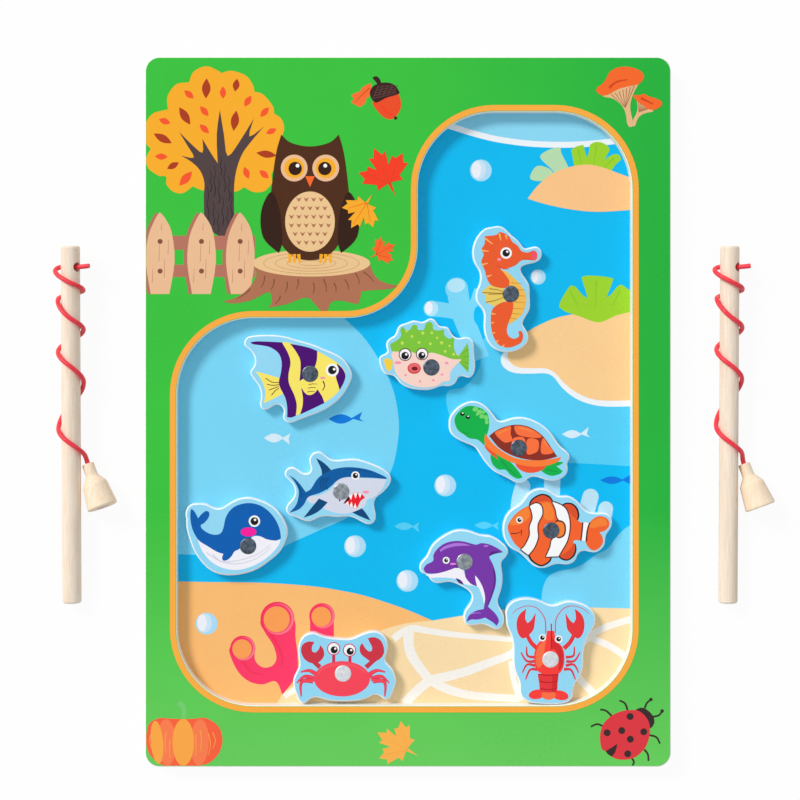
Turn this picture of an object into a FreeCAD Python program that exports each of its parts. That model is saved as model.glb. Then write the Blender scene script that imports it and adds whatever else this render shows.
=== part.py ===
import FreeCAD, Part
import math
import os
import Sketcher

# Magnetic fishing game: a two-layer board with a pond cut into its upper layer,
# ten loose sea creatures that lie in the pond, each with a steel disc let into
# its face, and two dowel rods, each with a wound cord and a turned lure whose
# foot holds a magnet.
#
# Frame: millimetres, +Z up, +X to the right and +Y to the top of the board.
# The origin is the centre of the board's underside, on the table.

V = FreeCAD.Vector
Z = V(0, 0, 1)

doc = FreeCAD.newDocument("fishing_game")

# Driving dimensions, in millimetres and degrees
SIZES = {
    # board
    "board_width": 220,
    "board_length": 297,
    "board_corner": 6,
    "base_thick": 3,
    "frame_thick": 6,
    "frame_edge": 0.5,
    # pond, from the board's edges and from its own walls
    "rim_left": 13.3,
    "rim_right": 16.4,
    "rim_top": 23,
    "rim_bottom": 25.7,
    "bay_width": 89.5,
    "pool_length": 162.1,
    "pond_corner": 32,
    "bank_round": 30,
    # creatures, each by its longest side, and what they share
    "creature_thick": 5,
    "creature_edge": 0.6,
    "seahorse_long": 52.7,
    "pufferfish_long": 40.1,
    "angelfish_long": 45.2,
    "turtle_long": 50.6,
    "clownfish_long": 45.8,
    "shark_long": 44.5,
    "whale_long": 42.7,
    "dolphin_long": 41.7,
    "crab_long": 43.1,
    "lobster_long": 44.2,
    # steel disc in each creature
    "disc_width": 7,
    "disc_thick": 1.5,
    "disc_edge": 0.2,
    "glue_gap": 0.1,
    # rods
    "rod_width": 8,
    "rod_length": 150,
    "rod_edge": 1,
    "rod_hole": 4,
    "rod_hole_from_end": 8.8,
    "rod_hole_turn": 55,
    "rod_rise": 1.75,
    "left_rod_away": 31.3,
    "right_rod_away": 24.7,
    "rod_foot_below_middle": 80.5,
    # cord
    "cord_thick": 2,
    "knot_width": 3.8,
    "knot_length": 3.4,
    # turned lure, measured along its axis from the neck's tip
    "lure_length": 19.4,
    "lure_neck_width": 5.1,
    "lure_neck_length": 5.5,
    "lure_shoulder_width": 10.4,
    "lure_shoulder_at": 9,
    "lure_foot_width": 13.1,
    "lure_bore": 2.8,
    "lure_flare": 2.5,
    "lure_shoulder_round": 3,
    "lure_foot_round": 0.8,
    "lure_tip_round": 0.5,
    "lure_swing": 20,
    "lure_gap": 0.15,
    "lure_along": 58.5,
    # magnet in the lure's foot
    "magnet_width": 5,
    "magnet_length": 3,
    "knot_slack": 0.6,
}

sheet = doc.addObject("Spreadsheet::Sheet", "sizes")
for row, (name, size) in enumerate(SIZES.items(), start=1):
    sheet.set(f"A{row}", name)
    sheet.set(f"B{row}", str(size))
    sheet.setAlias(f"B{row}", name)
doc.recompute()


def worked_out(expression):
    """The number that an expression of the sheet's cells stands for."""
    value = sheet.evalExpression(expression)
    return float(getattr(value, "Value", value))


# Helpers that draw, pad, cut, soften and place


def new_body(name):
    body = doc.addObject("PartDesign::Body", name)
    body.Label = name
    return body


def plane(body, role):
    return next(f for f in body.Origin.OriginFeatures if f.Role == role)


def new_sketch(body, name, role="XY_Plane"):
    sketch = body.newObject("Sketcher::SketchObject", name)
    sketch.AttachmentSupport = [(plane(body, role), "")]
    sketch.MapMode = "FlatFace"
    return sketch


def bind(thing, **expressions):
    for name, expression in expressions.items():
        thing.setExpression(name.replace("__", "."), expression)


def constrain(sketch, kind, *where, expression):
    """A dimension of a sketch that follows an expression."""
    index = sketch.addConstraint(Sketcher.Constraint(kind, *where, worked_out(expression)))
    sketch.setExpression(f"Constraints[{index}]", expression)


def pad(body, sketch, thick):
    feature = body.newObject("PartDesign::Pad", body.Name + "_pad")
    feature.Profile = sketch
    bind(feature, Length=thick)
    doc.recompute()
    return feature


def pocket(body, sketch, depth=None, both_ways=False):
    """Cuts the sketch down from its plane, or right through both ways."""
    before = body.Shape.Volume
    feature = body.newObject("PartDesign::Pocket", sketch.Name + "_cut")
    feature.Profile = sketch
    if depth is None:
        feature.Type = "ThroughAll"
        feature.Midplane = both_ways
        feature.Reversed = not both_ways
    else:
        bind(feature, Length=depth)
    doc.recompute()
    if not body.Shape.Volume < before - 0.1:
        raise RuntimeError(f"{feature.Name} cuts nothing")
    return feature


def edges(feature, wanted):
    """Names of a feature's edges that pass the test."""
    found = enumerate(feature.Shape.Edges, start=1)
    return [f"Edge{i}" for i, edge in found if wanted(edge)]


def soften(body, feature, wanted, size, kind="Fillet"):
    """Rounds or bevels the edges of a feature that pass the test."""
    softened = body.newObject("PartDesign::" + kind, f"{body.Name}_{kind}_{len(body.Group)}")
    softened.Base = (feature, edges(feature, wanted))
    bind(softened, **{"Radius" if kind == "Fillet" else "Size": size})
    doc.recompute()
    return softened


def lies_at(height):
    """A test for edges that lie level at one height."""
    return lambda edge: all(abs(v.Z - height) < 1e-4 for v in edge.Vertexes) and abs(
        edge.BoundBox.ZLength
    ) < 1e-3


def outer_edge_at(height):
    """A test for the level edges at one height that aren't whole circles."""
    level = lies_at(height)
    return lambda edge: level(edge) and not edge.isClosed()


def turned_edge(radius, along):
    """A test for the circular edge of a turned piece at one place on its Y axis."""

    def wanted(edge):
        box = edge.BoundBox
        return (
            abs(box.YMax - along) < 0.01
            and abs(box.YMin - along) < 0.01
            and abs(box.XMax - radius) < 0.01
        )

    return wanted


def circle_sketch(body, name, width, role="XY_Plane", x="0", y="0"):
    """One circle, its middle and width bound to the sheet."""
    sketch = new_sketch(body, name, role)
    middle = V(worked_out(x), worked_out(y), 0)
    circle = sketch.addGeometry(Part.Circle(middle, Z, worked_out(width) / 2))
    constrain(sketch, "Diameter", circle, expression=width)
    constrain(sketch, "DistanceX", -1, 1, circle, 3, expression=x)
    constrain(sketch, "DistanceY", -1, 1, circle, 3, expression=y)
    return sketch


def rounded_sketch(body, name, sides, rounds):
    """A closed outline of upright and level sides, taken anticlockwise, with a
    tangent arc at each corner. Each side is ("x" or "y", where it lies) and
    rounds[i] is the arc after side i."""
    sketch = new_sketch(body, name)
    count = len(sides)
    corners = []
    for i, (axis, where) in enumerate(sides):
        after = sides[(i + 1) % count][1]
        pair = (where, after) if axis == "x" else (after, where)
        corners.append(V(*(worked_out(each) for each in pair), 0))
    lines = []
    for i, (axis, where) in enumerate(sides):
        start, end = corners[i - 1], corners[i]
        way = (end - start).normalize()
        first = start + way * worked_out(rounds[i - 1])
        last = end - way * worked_out(rounds[i])
        line = sketch.addGeometry(Part.LineSegment(first, last))
        lines.append((line, first, last, way))
        upright = axis == "x"
        sketch.addConstraint(Sketcher.Constraint("Vertical" if upright else "Horizontal", line))
        across = "DistanceX" if upright else "DistanceY"
        constrain(sketch, across, -1, 1, line, 1, expression=where)
    for i in range(count):
        line, _, last, way = lines[i]
        after, first, _, way_after = lines[(i + 1) % count]
        radius = worked_out(rounds[i])
        left_turn = way.cross(way_after).z > 0
        middle = last + way_after * radius
        ends = [last, first] if left_turn else [first, last]
        angles = [math.atan2((p - middle).y, (p - middle).x) for p in ends]
        arc = sketch.addGeometry(Part.ArcOfCircle(Part.Circle(middle, Z, radius), *angles))
        start_at, end_at = (1, 2) if left_turn else (2, 1)
        sketch.addConstraint(Sketcher.Constraint("Tangent", line, 2, arc, start_at))
        sketch.addConstraint(Sketcher.Constraint("Tangent", arc, end_at, after, 1))
        constrain(sketch, "Radius", arc, expression=rounds[i])
    return sketch


def corner_sketch(body, name, corners):
    """A closed outline of straight sides whose corners are bound to the sheet."""
    sketch = new_sketch(body, name)
    points = [V(worked_out(x), worked_out(y), 0) for x, y in corners]
    for i, (x, y) in enumerate(corners):
        after = points[(i + 1) % len(points)]
        line = sketch.addGeometry(Part.LineSegment(points[i], after))
        constrain(sketch, "DistanceX", -1, 1, line, 1, expression=x)
        constrain(sketch, "DistanceY", -1, 1, line, 1, expression=y)
    for i in range(len(points)):
        after = (i + 1) % len(points)
        sketch.addConstraint(Sketcher.Constraint("Coincident", i, 2, after, 1))
    return sketch


def round_plate(name, width, thick, bevel):
    """A plain round plate that stands on its own origin, bevelled at both ends."""
    body = new_body(name)
    plate = pad(body, circle_sketch(body, name + "_outline", width), thick)
    soften(body, plate, lambda edge: edge.BoundBox.ZLength < 1e-4, bevel, "Chamfer")
    return body


def place(body, x, y, z, yaw="0", pitch="0", roll="0"):
    """Puts a piece where the expressions say, turned about Z, then Y, then X."""
    turn = f"create(<<rotation>>; {yaw}; {pitch}; {roll})"
    where = f"create(<<vector>>; {x}; {y}; {z})"
    body.setExpression("Placement", f"create(<<placement>>; {where}; {turn})")


# The board's two layers

LEFT_WALL = "(sizes.rim_left - sizes.board_width / 2)"
RIGHT_WALL = "(sizes.board_width / 2 - sizes.rim_right)"
BOTTOM_WALL = "(sizes.rim_bottom - sizes.board_length / 2)"
TOP_WALL = "(sizes.board_length / 2 - sizes.rim_top)"
BAY_WALL = f"({RIGHT_WALL} - sizes.bay_width)"
BANK = f"({BOTTOM_WALL} + sizes.pool_length)"


def board_sketch(body, name):
    half_width, half_length = "sizes.board_width / 2", "sizes.board_length / 2"
    sides = [
        ("x", half_width),
        ("y", half_length),
        ("x", "-" + half_width),
        ("y", "-" + half_length),
    ]
    return rounded_sketch(body, name, sides, ["sizes.board_corner"] * 4)


def base_board():
    """The printed floor of the pond, a plain sheet as large as the frame."""
    body = new_body("base_board")
    sheet_pad = pad(body, board_sketch(body, "base_outline"), "sizes.base_thick")
    soften(body, sheet_pad, lies_at(0), "sizes.frame_edge")
    return body


def frame_board():
    """The upper layer with the pond sawn out: a wide pool, and a bay that runs
    up its right side. The bank between them is one hollow curve."""
    body = new_body("frame_board")
    pad(body, board_sketch(body, "frame_outline"), "sizes.frame_thick")
    sides = [
        ("x", RIGHT_WALL),
        ("y", TOP_WALL),
        ("x", BAY_WALL),
        ("y", BANK),
        ("x", LEFT_WALL),
        ("y", BOTTOM_WALL),
    ]
    corner, bank = "sizes.pond_corner", "sizes.bank_round"
    rounds = [corner, corner, bank, corner, corner, corner]
    cut = pocket(body, rounded_sketch(body, "pond_outline", sides, rounds))
    top = lies_at(worked_out("sizes.frame_thick"))
    soften(body, cut, top, "sizes.frame_edge")
    place(body, "0", "0", "sizes.base_thick")
    return body


# The sea creatures and their discs

# Each outline runs clockwise through the points where its border turns, in
# millimetres from the middle of the creature's steel disc, as the piece lies.
OUTLINES = {
    "seahorse": [
        (-6.7, 28.3), (-3.3, 27.9), (-0.2, 25.0), (3.3, 22.0), (5.9, 19.1), (10.5, 19.9),
        (13.0, 17.0), (11.3, 13.7), (6.9, 12.4), (4.2, 10.7), (5.0, 8.0), (7.5, 4.1),
        (7.9, -1.0), (7.5, -7.2), (5.0, -12.7), (6.9, -16.0), (6.9, -20.2), (3.3, -23.3),
        (-2.5, -24.4), (-7.5, -22.7), (-10.5, -18.1), (-11.3, -12.3), (-11.7, -6.8),
        (-14.2, -3.5), (-14.6, -0.1), (-13.0, 5.3), (-13.0, 8.7), (-15.5, 13.7),
        (-15.9, 19.1), (-13.4, 25.0), (-10.0, 27.7),
    ],
    "pufferfish": [
        (-21.9, 2.9), (-21.1, 4.9), (-18.6, 6.4), (-19.0, 9.4), (-17.7, 11.9), (-15.4, 13.5),
        (-13.5, 17.3), (-10.6, 18.6), (-6.9, 19.6), (-3.9, 19.1), (-0.4, 20.5), (1.7, 19.6),
        (3.6, 17.3), (6.5, 16.9), (8.6, 14.0), (11.5, 12.3), (14.9, 12.7), (17.0, 11.5),
        (17.8, 7.7), (18.2, 2.7), (17.8, -2.3), (15.7, -4.4), (12.4, -3.6), (10.3, -6.1),
        (7.4, -7.8), (4.4, -7.8), (0.7, -9.0), (-4.3, -9.4), (-9.4, -8.6), (-13.5, -6.1),
        (-16.5, -3.2), (-19.2, -2.8), (-21.2, 0.0),
    ],
    "angelfish": [
        (-27.6, 13.0), (-27.0, 14.6), (-24.2, 15.9), (-18.0, 16.3), (-11.7, 15.9),
        (-5.4, 14.2), (1.3, 12.3), (7.5, 9.6), (13.8, 6.3), (16.3, 2.9), (17.6, -0.4),
        (16.3, -4.6), (13.4, -9.2), (7.5, -14.2), (1.3, -17.1), (-5.4, -19.6), (-9.6, -20.3),
        (-11.3, -18.4), (-11.0, -15.5), (-12.3, -13.4), (-14.6, -13.0), (-18.4, -15.0),
        (-20.4, -14.4), (-20.6, -10.0), (-21.9, -4.6), (-24.7, -0.6), (-25.1, 0.8),
        (-23.8, 2.9), (-23.4, 7.1), (-25.9, 10.5),
    ],
    "turtle": [
        (-29.3, 10.5), (-28.4, 13.8), (-25.9, 16.7), (-22.6, 18.8), (-19.2, 19.6),
        (-15.9, 18.8), (-12.5, 16.3), (-10.0, 13.0), (-8.2, 11.4), (-5.6, 11.7), (0.4, 13.0),
        (5.9, 11.7), (10.9, 8.8), (15.0, 4.2), (18.0, 0.2), (20.9, -2.5), (21.3, -4.2),
        (20.3, -6.7), (20.5, -9.2), (18.4, -12.5), (13.8, -13.8), (10.0, -13.0),
        (7.3, -12.1), (4.6, -12.5), (2.1, -14.2), (-0.6, -14.6), (-5.0, -12.5),
        (-10.0, -10.0), (-13.8, -6.3), (-16.7, -2.1), (-18.6, 0.4), (-21.3, 1.7),
        (-25.9, 3.8), (-28.8, 6.7),
    ],
    "clownfish": [
        (-20.3, 1.1), (-19.6, 4.4), (-16.9, 8.6), (-12.7, 11.5), (-9.8, 15.3), (-6.1, 17.4),
        (-2.3, 17.4), (1.0, 15.5), (3.2, 14.4), (6.5, 14.5), (9.8, 13.2), (12.7, 10.3),
        (15.6, 7.9), (19.9, 7.4), (23.6, 6.9), (25.5, 3.8), (24.7, 0.7), (23.0, -1.8),
        (22.4, -5.6), (20.1, -8.5), (16.9, -9.2), (13.6, -8.5), (11.7, -9.4), (10.0, -12.5),
        (6.9, -14.2), (2.7, -14.0), (-0.2, -14.8), (-3.6, -15.8), (-7.3, -14.8),
        (-10.2, -12.3), (-12.7, -9.8), (-16.9, -7.3), (-19.6, -3.5),
    ],
    "shark": [
        (-23.6, 7.3), (-23.0, 9.2), (-20.7, 10.2), (-18.4, 9.4), (-16.3, 7.9), (-14.0, 7.7),
        (-12.7, 9.2), (-13.3, 12.3), (-13.0, 14.8), (-11.3, 16.5), (-8.5, 16.5),
        (-5.9, 14.6), (-2.9, 13.2), (1.7, 13.6), (6.5, 13.6), (12.1, 11.9), (17.1, 9.8),
        (20.1, 7.3), (20.9, 5.2), (19.2, 1.5), (16.7, -1.0), (14.3, -3.1), (13.8, -5.6),
        (14.5, -9.8), (13.9, -12.7), (12.0, -13.7), (7.9, -12.3), (3.3, -10.5),
        (-1.7, -10.7), (-6.3, -10.4), (-9.6, -11.0), (-13.4, -12.5), (-16.3, -11.9),
        (-18.6, -10.8), (-21.7, -9.8), (-23.1, -7.7), (-22.3, -5.2), (-20.1, -2.7),
        (-19.4, 0.6), (-20.7, 3.6),
    ],
    "whale": [
        (-26.1, 12.2), (-25.9, 15.0), (-24.2, 17.3), (-20.9, 17.8), (-17.5, 17.6),
        (-14.6, 16.2), (-11.8, 15.8), (-9.4, 16.9), (-6.2, 18.9), (-2.5, 20.2), (1.7, 20.2),
        (5.9, 18.9), (10.1, 16.8), (13.6, 13.1), (15.8, 9.3), (16.6, 6.0), (15.8, 2.2),
        (13.4, -2.4), (9.2, -6.1), (4.6, -9.3), (-0.8, -11.4), (-5.4, -12.2),
        (-10.0, -12.2), (-13.8, -11.2), (-17.5, -8.7), (-20.9, -4.9), (-23.4, -0.3),
        (-25.0, 4.3), (-25.9, 8.9),
    ],
    "dolphin": [
        (-18.9, -2.7), (-18.3, -0.4), (-15.9, 2.3), (-14.6, 5.2), (-11.8, 8.8), (-8.5, 11.1),
        (-4.7, 13.0), (-0.5, 13.4), (3.2, 12.6), (6.6, 11.4), (10.7, 10.9), (14.1, 9.2),
        (17.4, 6.3), (18.3, 4.2), (17.4, 2.1), (15.7, 0.2), (15.6, -3.3), (15.9, -7.9),
        (14.9, -13.0), (13.9, -17.2), (15.3, -20.1), (16.6, -23.2), (15.9, -26.8),
        (14.0, -28.3), (10.7, -27.3), (7.0, -26.2), (3.2, -26.7), (0.5, -26.2),
        (-0.3, -24.2), (-0.1, -21.3), (2.0, -18.0), (3.1, -14.7), (2.0, -12.5),
        (-0.5, -10.7), (-3.5, -9.2), (-6.4, -8.4), (-9.3, -8.8), (-11.8, -9.0),
        (-14.3, -7.5), (-15.8, -5.6), (-17.9, -4.6),
    ],
    "crab": [
        (-20.9, -4.2), (-20.1, -0.6), (-18.5, 3.0), (-18.6, 6.3), (-18.8, 10.2),
        (-18.0, 13.8), (-15.5, 16.3), (-12.7, 17.1), (-9.2, 16.0), (-5.0, 15.0),
        (-0.4, 14.6), (3.8, 14.8), (6.7, 16.0), (10.5, 17.4), (14.2, 17.6), (17.1, 15.9),
        (18.6, 13.0), (18.4, 8.8), (17.9, 5.0), (20.1, 2.5), (21.7, -0.6), (22.2, -3.8),
        (20.9, -7.5), (19.6, -10.3), (17.6, -10.9), (15.7, -9.7), (13.4, -9.0),
        (11.3, -9.8), (7.1, -11.3), (1.3, -11.7), (-5.0, -11.5), (-9.2, -10.5),
        (-12.1, -10.1), (-14.0, -11.1), (-15.9, -12.5), (-18.0, -12.0), (-19.4, -9.4),
        (-20.5, -6.9),
    ],
    "lobster": [
        (-18.8, 18.0), (-18.4, 21.3), (-15.9, 24.3), (-11.7, 25.5), (-7.5, 25.5),
        (-3.8, 24.3), (-0.6, 22.9), (2.1, 22.9), (5.9, 24.2), (10.0, 24.3), (13.8, 23.0),
        (17.1, 20.9), (18.8, 17.6), (18.4, 14.2), (15.9, 10.0), (14.4, 5.9), (13.8, 1.3),
        (13.4, -3.8), (12.3, -7.1), (10.5, -9.8), (9.5, -13.4), (8.7, -16.6), (6.1, -18.3),
        (0.0, -18.7), (-7.1, -18.4), (-10.9, -16.9), (-12.9, -14.2), (-13.1, -10.0),
        (-14.6, -6.3), (-15.6, -2.9), (-15.7, 2.1), (-15.8, 6.7), (-16.9, 10.9),
        (-18.4, 14.4),
    ],
}


def drawn_long(name):
    """The longest side of an outline as drawn."""
    return max(max(side) - min(side) for side in zip(*OUTLINES[name]))


def across(name, axis):
    """How far a creature reaches along X or Y, as an expression of the sizes."""
    side = [point[axis] for point in OUTLINES[name]]
    return f"{(max(side) - min(side)) / drawn_long(name)} * sizes.{name}_long"


def room(low, high, axis, names):
    """What a row of creatures leaves free between two walls, as an expression."""
    taken = " - ".join(across(name, axis) for name in names)
    return f"({high} - {low} - {taken})"


# The free room of the row under the bank, and of the column on the right.
# Some gaps are a share of it, so that a smaller pond closes them up.
ROW = room(LEFT_WALL, RIGHT_WALL, 0, ["angelfish", "pufferfish", "seahorse"])
COLUMN = room(BOTTOM_WALL, TOP_WALL, 1, ["lobster", "clownfish", "turtle", "seahorse"])

# How each creature lies: which way from which wall or neighbour, and how far
# apart the two are there. Below nought, their outlines pass each other.
RESTS = {
    "lobster": [("left of", "right wall", 15.1), ("above", "bottom wall", 0.4)],
    "clownfish": [("left of", "right wall", 8.1), ("above", "lobster", 12.7)],
    "turtle": [("left of", "right wall", 25.9), ("above", "clownfish", 2.6)],
    "seahorse": [
        ("left of", "right wall", f"0.4928 * {ROW}"),
        ("above", "turtle", f"0.244 * {COLUMN}"),
    ],
    "pufferfish": [("left of", "seahorse", -0.8), ("above", "turtle", 4.7)],
    "angelfish": [("left of", "pufferfish", f"0.1485 * {ROW}"), ("below", "bank", 7.1)],
    "whale": [("right of", "left wall", 3.6), ("above", "bottom wall", 54.4)],
    "shark": [("right of", "whale", -1.2), ("above", "whale", -11.1)],
    "dolphin": [("left of", "lobster", -1.1), ("above", "bottom wall", 31.7)],
    "crab": [("right of", "left wall", 48.6), ("above", "bottom wall", 0.7)],
}
WALLS = {
    "left wall": LEFT_WALL,
    "right wall": RIGHT_WALL,
    "bottom wall": BOTTOM_WALL,
    "bank": BANK,
}
# For each way: the axis, the neighbour's side that is met, and the sign
WAYS = {
    "left of": (0, min, -1),
    "right of": (0, max, 1),
    "above": (1, max, 1),
    "below": (1, min, -1),
}
BORDER_PLAY = 0.08  # how far the arcs of an outline may leave its smooth curve
places = {}  # of each creature's disc, as two expressions


def lie(name):
    """Works out where a creature's disc lies, as expressions of the sizes."""
    where = []
    for way, other, apart in RESTS[name]:
        axis, side, sign = WAYS[way]
        own = (max if side is min else min)(point[axis] for point in OUTLINES[name])
        own_share = own / drawn_long(name)
        if other in WALLS:
            met = WALLS[other]
        else:
            reach = side(point[axis] for point in OUTLINES[other]) / drawn_long(other)
            met = f"({places[other][axis]} + {reach} * sizes.{other}_long)"
        where.append(f"({met} + {sign} * ({apart}) - {own_share} * sizes.{name}_long)")
    places[name] = where


def creature(name):
    """A thick cut-out that follows its picture's border in a chain of tangent
    arcs, with a bevelled upper edge and a round seat for its steel disc."""
    body = new_body(name)
    outline = new_sketch(body, name + "_outline")
    grown = worked_out(f"sizes.{name}_long") / drawn_long(name)
    border = Part.BSplineCurve()
    border.interpolate([V(x * grown, y * grown, 0) for x, y in OUTLINES[name]], PeriodicFlag=True)
    outline.addGeometry(border.toBiArcs(BORDER_PLAY))
    pad(body, outline, "sizes.creature_thick")
    seat = circle_sketch(body, name + "_seat", "sizes.disc_width + 2 * sizes.glue_gap")
    seat.setExpression("AttachmentOffset.Base.z", "sizes.creature_thick")
    cut_out = pocket(body, seat, "sizes.disc_thick")
    rim = outer_edge_at(worked_out("sizes.creature_thick"))
    soften(body, cut_out, rim, "sizes.creature_edge", "Chamfer")
    place(body, *places[name], "sizes.base_thick")
    return body


def creature_disc(name):
    """The steel disc, glued in flush with the creature's face."""
    disc = round_plate(name + "_disc", "sizes.disc_width", "sizes.disc_thick", "sizes.disc_edge")
    floor = "sizes.base_thick + sizes.creature_thick - sizes.disc_thick"
    place(disc, *places[name], floor)
    return disc


# The rods, their cords and lures

# A rod's own frame: its axis is +Y from the middle of its foot end, +Z is up.
# Its foot touches the table, and further up it lies on one turn of its cord.
ROD_X = {
    "left": "(-sizes.board_width / 2 - sizes.left_rod_away)",
    "right": "(sizes.board_width / 2 + sizes.right_rod_away)",
}
ROD_Y = "(-sizes.rod_foot_below_middle)"
ROD_Z = "(sizes.rod_width / 2 * cos(sizes.rod_rise) - sizes.rod_edge * sin(sizes.rod_rise))"


def place_on_rod(thing, side):
    place(thing, ROD_X[side], ROD_Y, ROD_Z, roll="sizes.rod_rise")


def rod(side):
    """A dowel with rounded ends and a hole drilled across it near its top."""
    body = new_body(side + "_rod")
    outline = circle_sketch(body, side + "_rod_outline", "sizes.rod_width", "XZ_Plane")
    dowel = pad(body, outline, "sizes.rod_length")
    dowel.Reversed = True
    doc.recompute()
    ends = soften(body, dowel, lambda edge: edge.BoundBox.YLength < 1e-4, "sizes.rod_edge")
    hole = circle_sketch(
        body,
        side + "_rod_hole",
        "sizes.rod_hole",
        y="sizes.rod_length - sizes.rod_hole_from_end",
    )
    hole.AttachmentOffset = FreeCAD.Placement(V(), FreeCAD.Rotation(V(0, 1, 0), 1))
    hole.setExpression("AttachmentOffset.Rotation.Angle", "sizes.rod_hole_turn")
    doc.recompute()
    pocket(body, hole, both_ways=True)
    place_on_rod(body, side)
    return body


# The cord's route in the rod's frame. Its cut end stands out of the hole's
# upper mouth, and it comes out of the lower one and bends up round the rod.
THROUGH_HOLE = [
    (8.2, 141.7, 2.9),
    (4.3, 141.2, 1.62),
    (0.4, 141.2, 0.22),
    (-1.9, 141.2, -0.66),
    (-3.3, 141.2, -1.24),
    (-4.16, 141.15, -1.45),
    (-5.04, 140.95, -1.36),
    (-5.78, 140.6, -0.89),
    (-6.24, 140.1, -0.15),
    (-6.34, 139.5, 0.73),
    (-5.8, 138.6, 2.05),
    (-4.2, 137.2, 3.93),
    (-1.9, 136.0, 5.17),
]
# Where the winding is along the rod at each quarter turn, from the top of the
# rod over its right side. Both the pitch and the slack are uneven.
QUARTER_TURNS = [134.9, 131.6, 129.9, 127.8, 120.1, 115.3, 110.7, 106.1, 100.2, 93.5, 84.3, 73.9]
WINDING_RADIUS = 5.45
STEPS_A_QUARTER = 3
# Off the rod's right side, and down into the neck of the lure
INTO_LURE = [
    (-4.72, 71.9, 2.73),
    (-2.73, 69.8, 4.72),
    (0.0, 67.9, 5.45),
    (2.55, 66.0, 4.8),
    (4.5, 64.3, 3.15),
    (5.5, 62.9, 1.0),
    (6.0, 61.3, -0.9),
    (6.36, 59.43, -1.91),
    (7.68, 55.8, -1.2),
    (9.28, 51.42, -0.66),
    (10.87, 47.04, 0.18),
]


def winding():
    """The turns of the cord round the rod, from its top."""
    points = []
    steps = STEPS_A_QUARTER * (len(QUARTER_TURNS) - 1)
    for step in range(steps + 1):
        quarter, part = divmod(step, STEPS_A_QUARTER)
        along = QUARTER_TURNS[quarter]
        if part:
            along += (QUARTER_TURNS[quarter + 1] - along) * part / STEPS_A_QUARTER
        clock = math.radians(90 - step * 90 / STEPS_A_QUARTER)
        across = WINDING_RADIUS * math.cos(clock)
        points.append((across, along, WINDING_RADIUS * math.sin(clock)))
    return points


def cord_path(points):
    """Straight runs joined by tangent arcs, and each arc's radius."""
    pieces, radii = [], []
    here = points[0]
    for before, at, after in zip(points, points[1:], points[2:]):
        back, on = before - at, after - at
        shorter = min(back.Length, on.Length)
        back.normalize()
        on.normalize()
        half_turn = (math.pi - back.getAngle(on)) / 2
        cut = 0.45 * shorter
        radius = cut / math.tan(half_turn)
        start, end = at + back * cut, at + on * cut
        middle = at + (back + on).normalize() * (radius / math.cos(half_turn) - radius)
        pieces.append(Part.LineSegment(here, start).toShape())
        pieces.append(Part.Arc(start, middle, end).toShape())
        radii.append(radius)
        here = end
    pieces.append(Part.LineSegment(here, points[-1]).toShape())
    return Part.Wire(pieces), radii


def cord(side):
    """The cord from its cut end, through the rod, round it and into the lure."""
    points = [V(*point) for point in THROUGH_HOLE + winding() + INTO_LURE]
    path, radii = cord_path(points)
    thick = worked_out("sizes.cord_thick")
    ring = Part.Wire(Part.Circle(points[0], points[1] - points[0], thick / 2).toShape())
    tube = doc.addObject("Part::Feature", side + "_cord")
    tube.Label = side + "_cord"
    tube.Shape = path.makePipeShell([ring], True, False)
    place_on_rod(tube, side)
    swept = math.pi * (thick / 2) ** 2 * path.Length
    print(f"{side} cord: {path.Length:.1f} long, volume {tube.Shape.Volume / swept:.4f} of its section's")
    print("radii:", " ".join(f"{radius:.1f}" for radius in radii))
    return tube


# The lure's own frame: its axis is -Y, from the middle of the neck's tip.
# It lies on the straight side between its shoulder and its foot.
LURE_TAPER = (
    "atan((sizes.lure_foot_width - sizes.lure_shoulder_width) / 2"
    " / (sizes.lure_length - sizes.lure_shoulder_at))"
)
SEAT_DEPTH = "(sizes.magnet_length + sizes.knot_slack + sizes.knot_length)"


def place_in_lure(thing, side, along="0"):
    """Puts a piece on the axis of the lure, so far from the neck's tip."""
    tip_radius = f"(sizes.lure_shoulder_width / 2 - sizes.lure_shoulder_at * tan({LURE_TAPER}))"
    level = f"cos({LURE_TAPER})"
    reach = "sizes.rod_width / 2 + sizes.lure_neck_width / 2 + sizes.lure_gap"
    x = f"{ROD_X[side]} + {reach} + ({along}) * sin(sizes.lure_swing) * {level}"
    y = f"{ROD_Y} + sizes.lure_along - ({along}) * cos(sizes.lure_swing) * {level}"
    z = f"{tip_radius} * {level} + ({along}) * sin({LURE_TAPER})"
    place(thing, x, y, z, yaw="sizes.lure_swing", roll=f"-{LURE_TAPER}")


def lure(side):
    """A turned wooden bell, bored for the cord and counterbored from its foot
    for the knot and the magnet."""
    body = new_body(side + "_lure")
    bore, neck = "sizes.lure_bore / 2", "sizes.lure_neck_width / 2"
    shoulder, foot = "sizes.lure_shoulder_width / 2", "sizes.lure_foot_width / 2"
    seat = "sizes.magnet_width / 2 + sizes.glue_gap"
    seat_top = f"{SEAT_DEPTH} - sizes.lure_length"
    corners = [
        (bore, "0"),
        (neck, "0"),
        (neck, "-sizes.lure_neck_length"),
        (shoulder, "-sizes.lure_shoulder_at"),
        (foot, "-sizes.lure_length"),
        (seat, "-sizes.lure_length"),
        (seat, seat_top),
        (bore, seat_top),
    ]
    section = corner_sketch(body, side + "_lure_section", corners)
    feature = body.newObject("PartDesign::Revolution", side + "_lure_turned")
    feature.Profile = section
    feature.ReferenceAxis = (section, ["V_Axis"])
    feature.Angle = 360
    doc.recompute()
    rounds = [
        ("sizes.lure_flare", corners[2]),
        ("sizes.lure_shoulder_round", corners[3]),
        ("sizes.lure_foot_round", corners[4]),
        ("sizes.lure_tip_round", corners[1]),
    ]
    for size, (across, along) in rounds:
        edge = turned_edge(worked_out(across), worked_out(along))
        feature = soften(body, feature, edge, size)
    place_in_lure(body, side)
    return body


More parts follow.
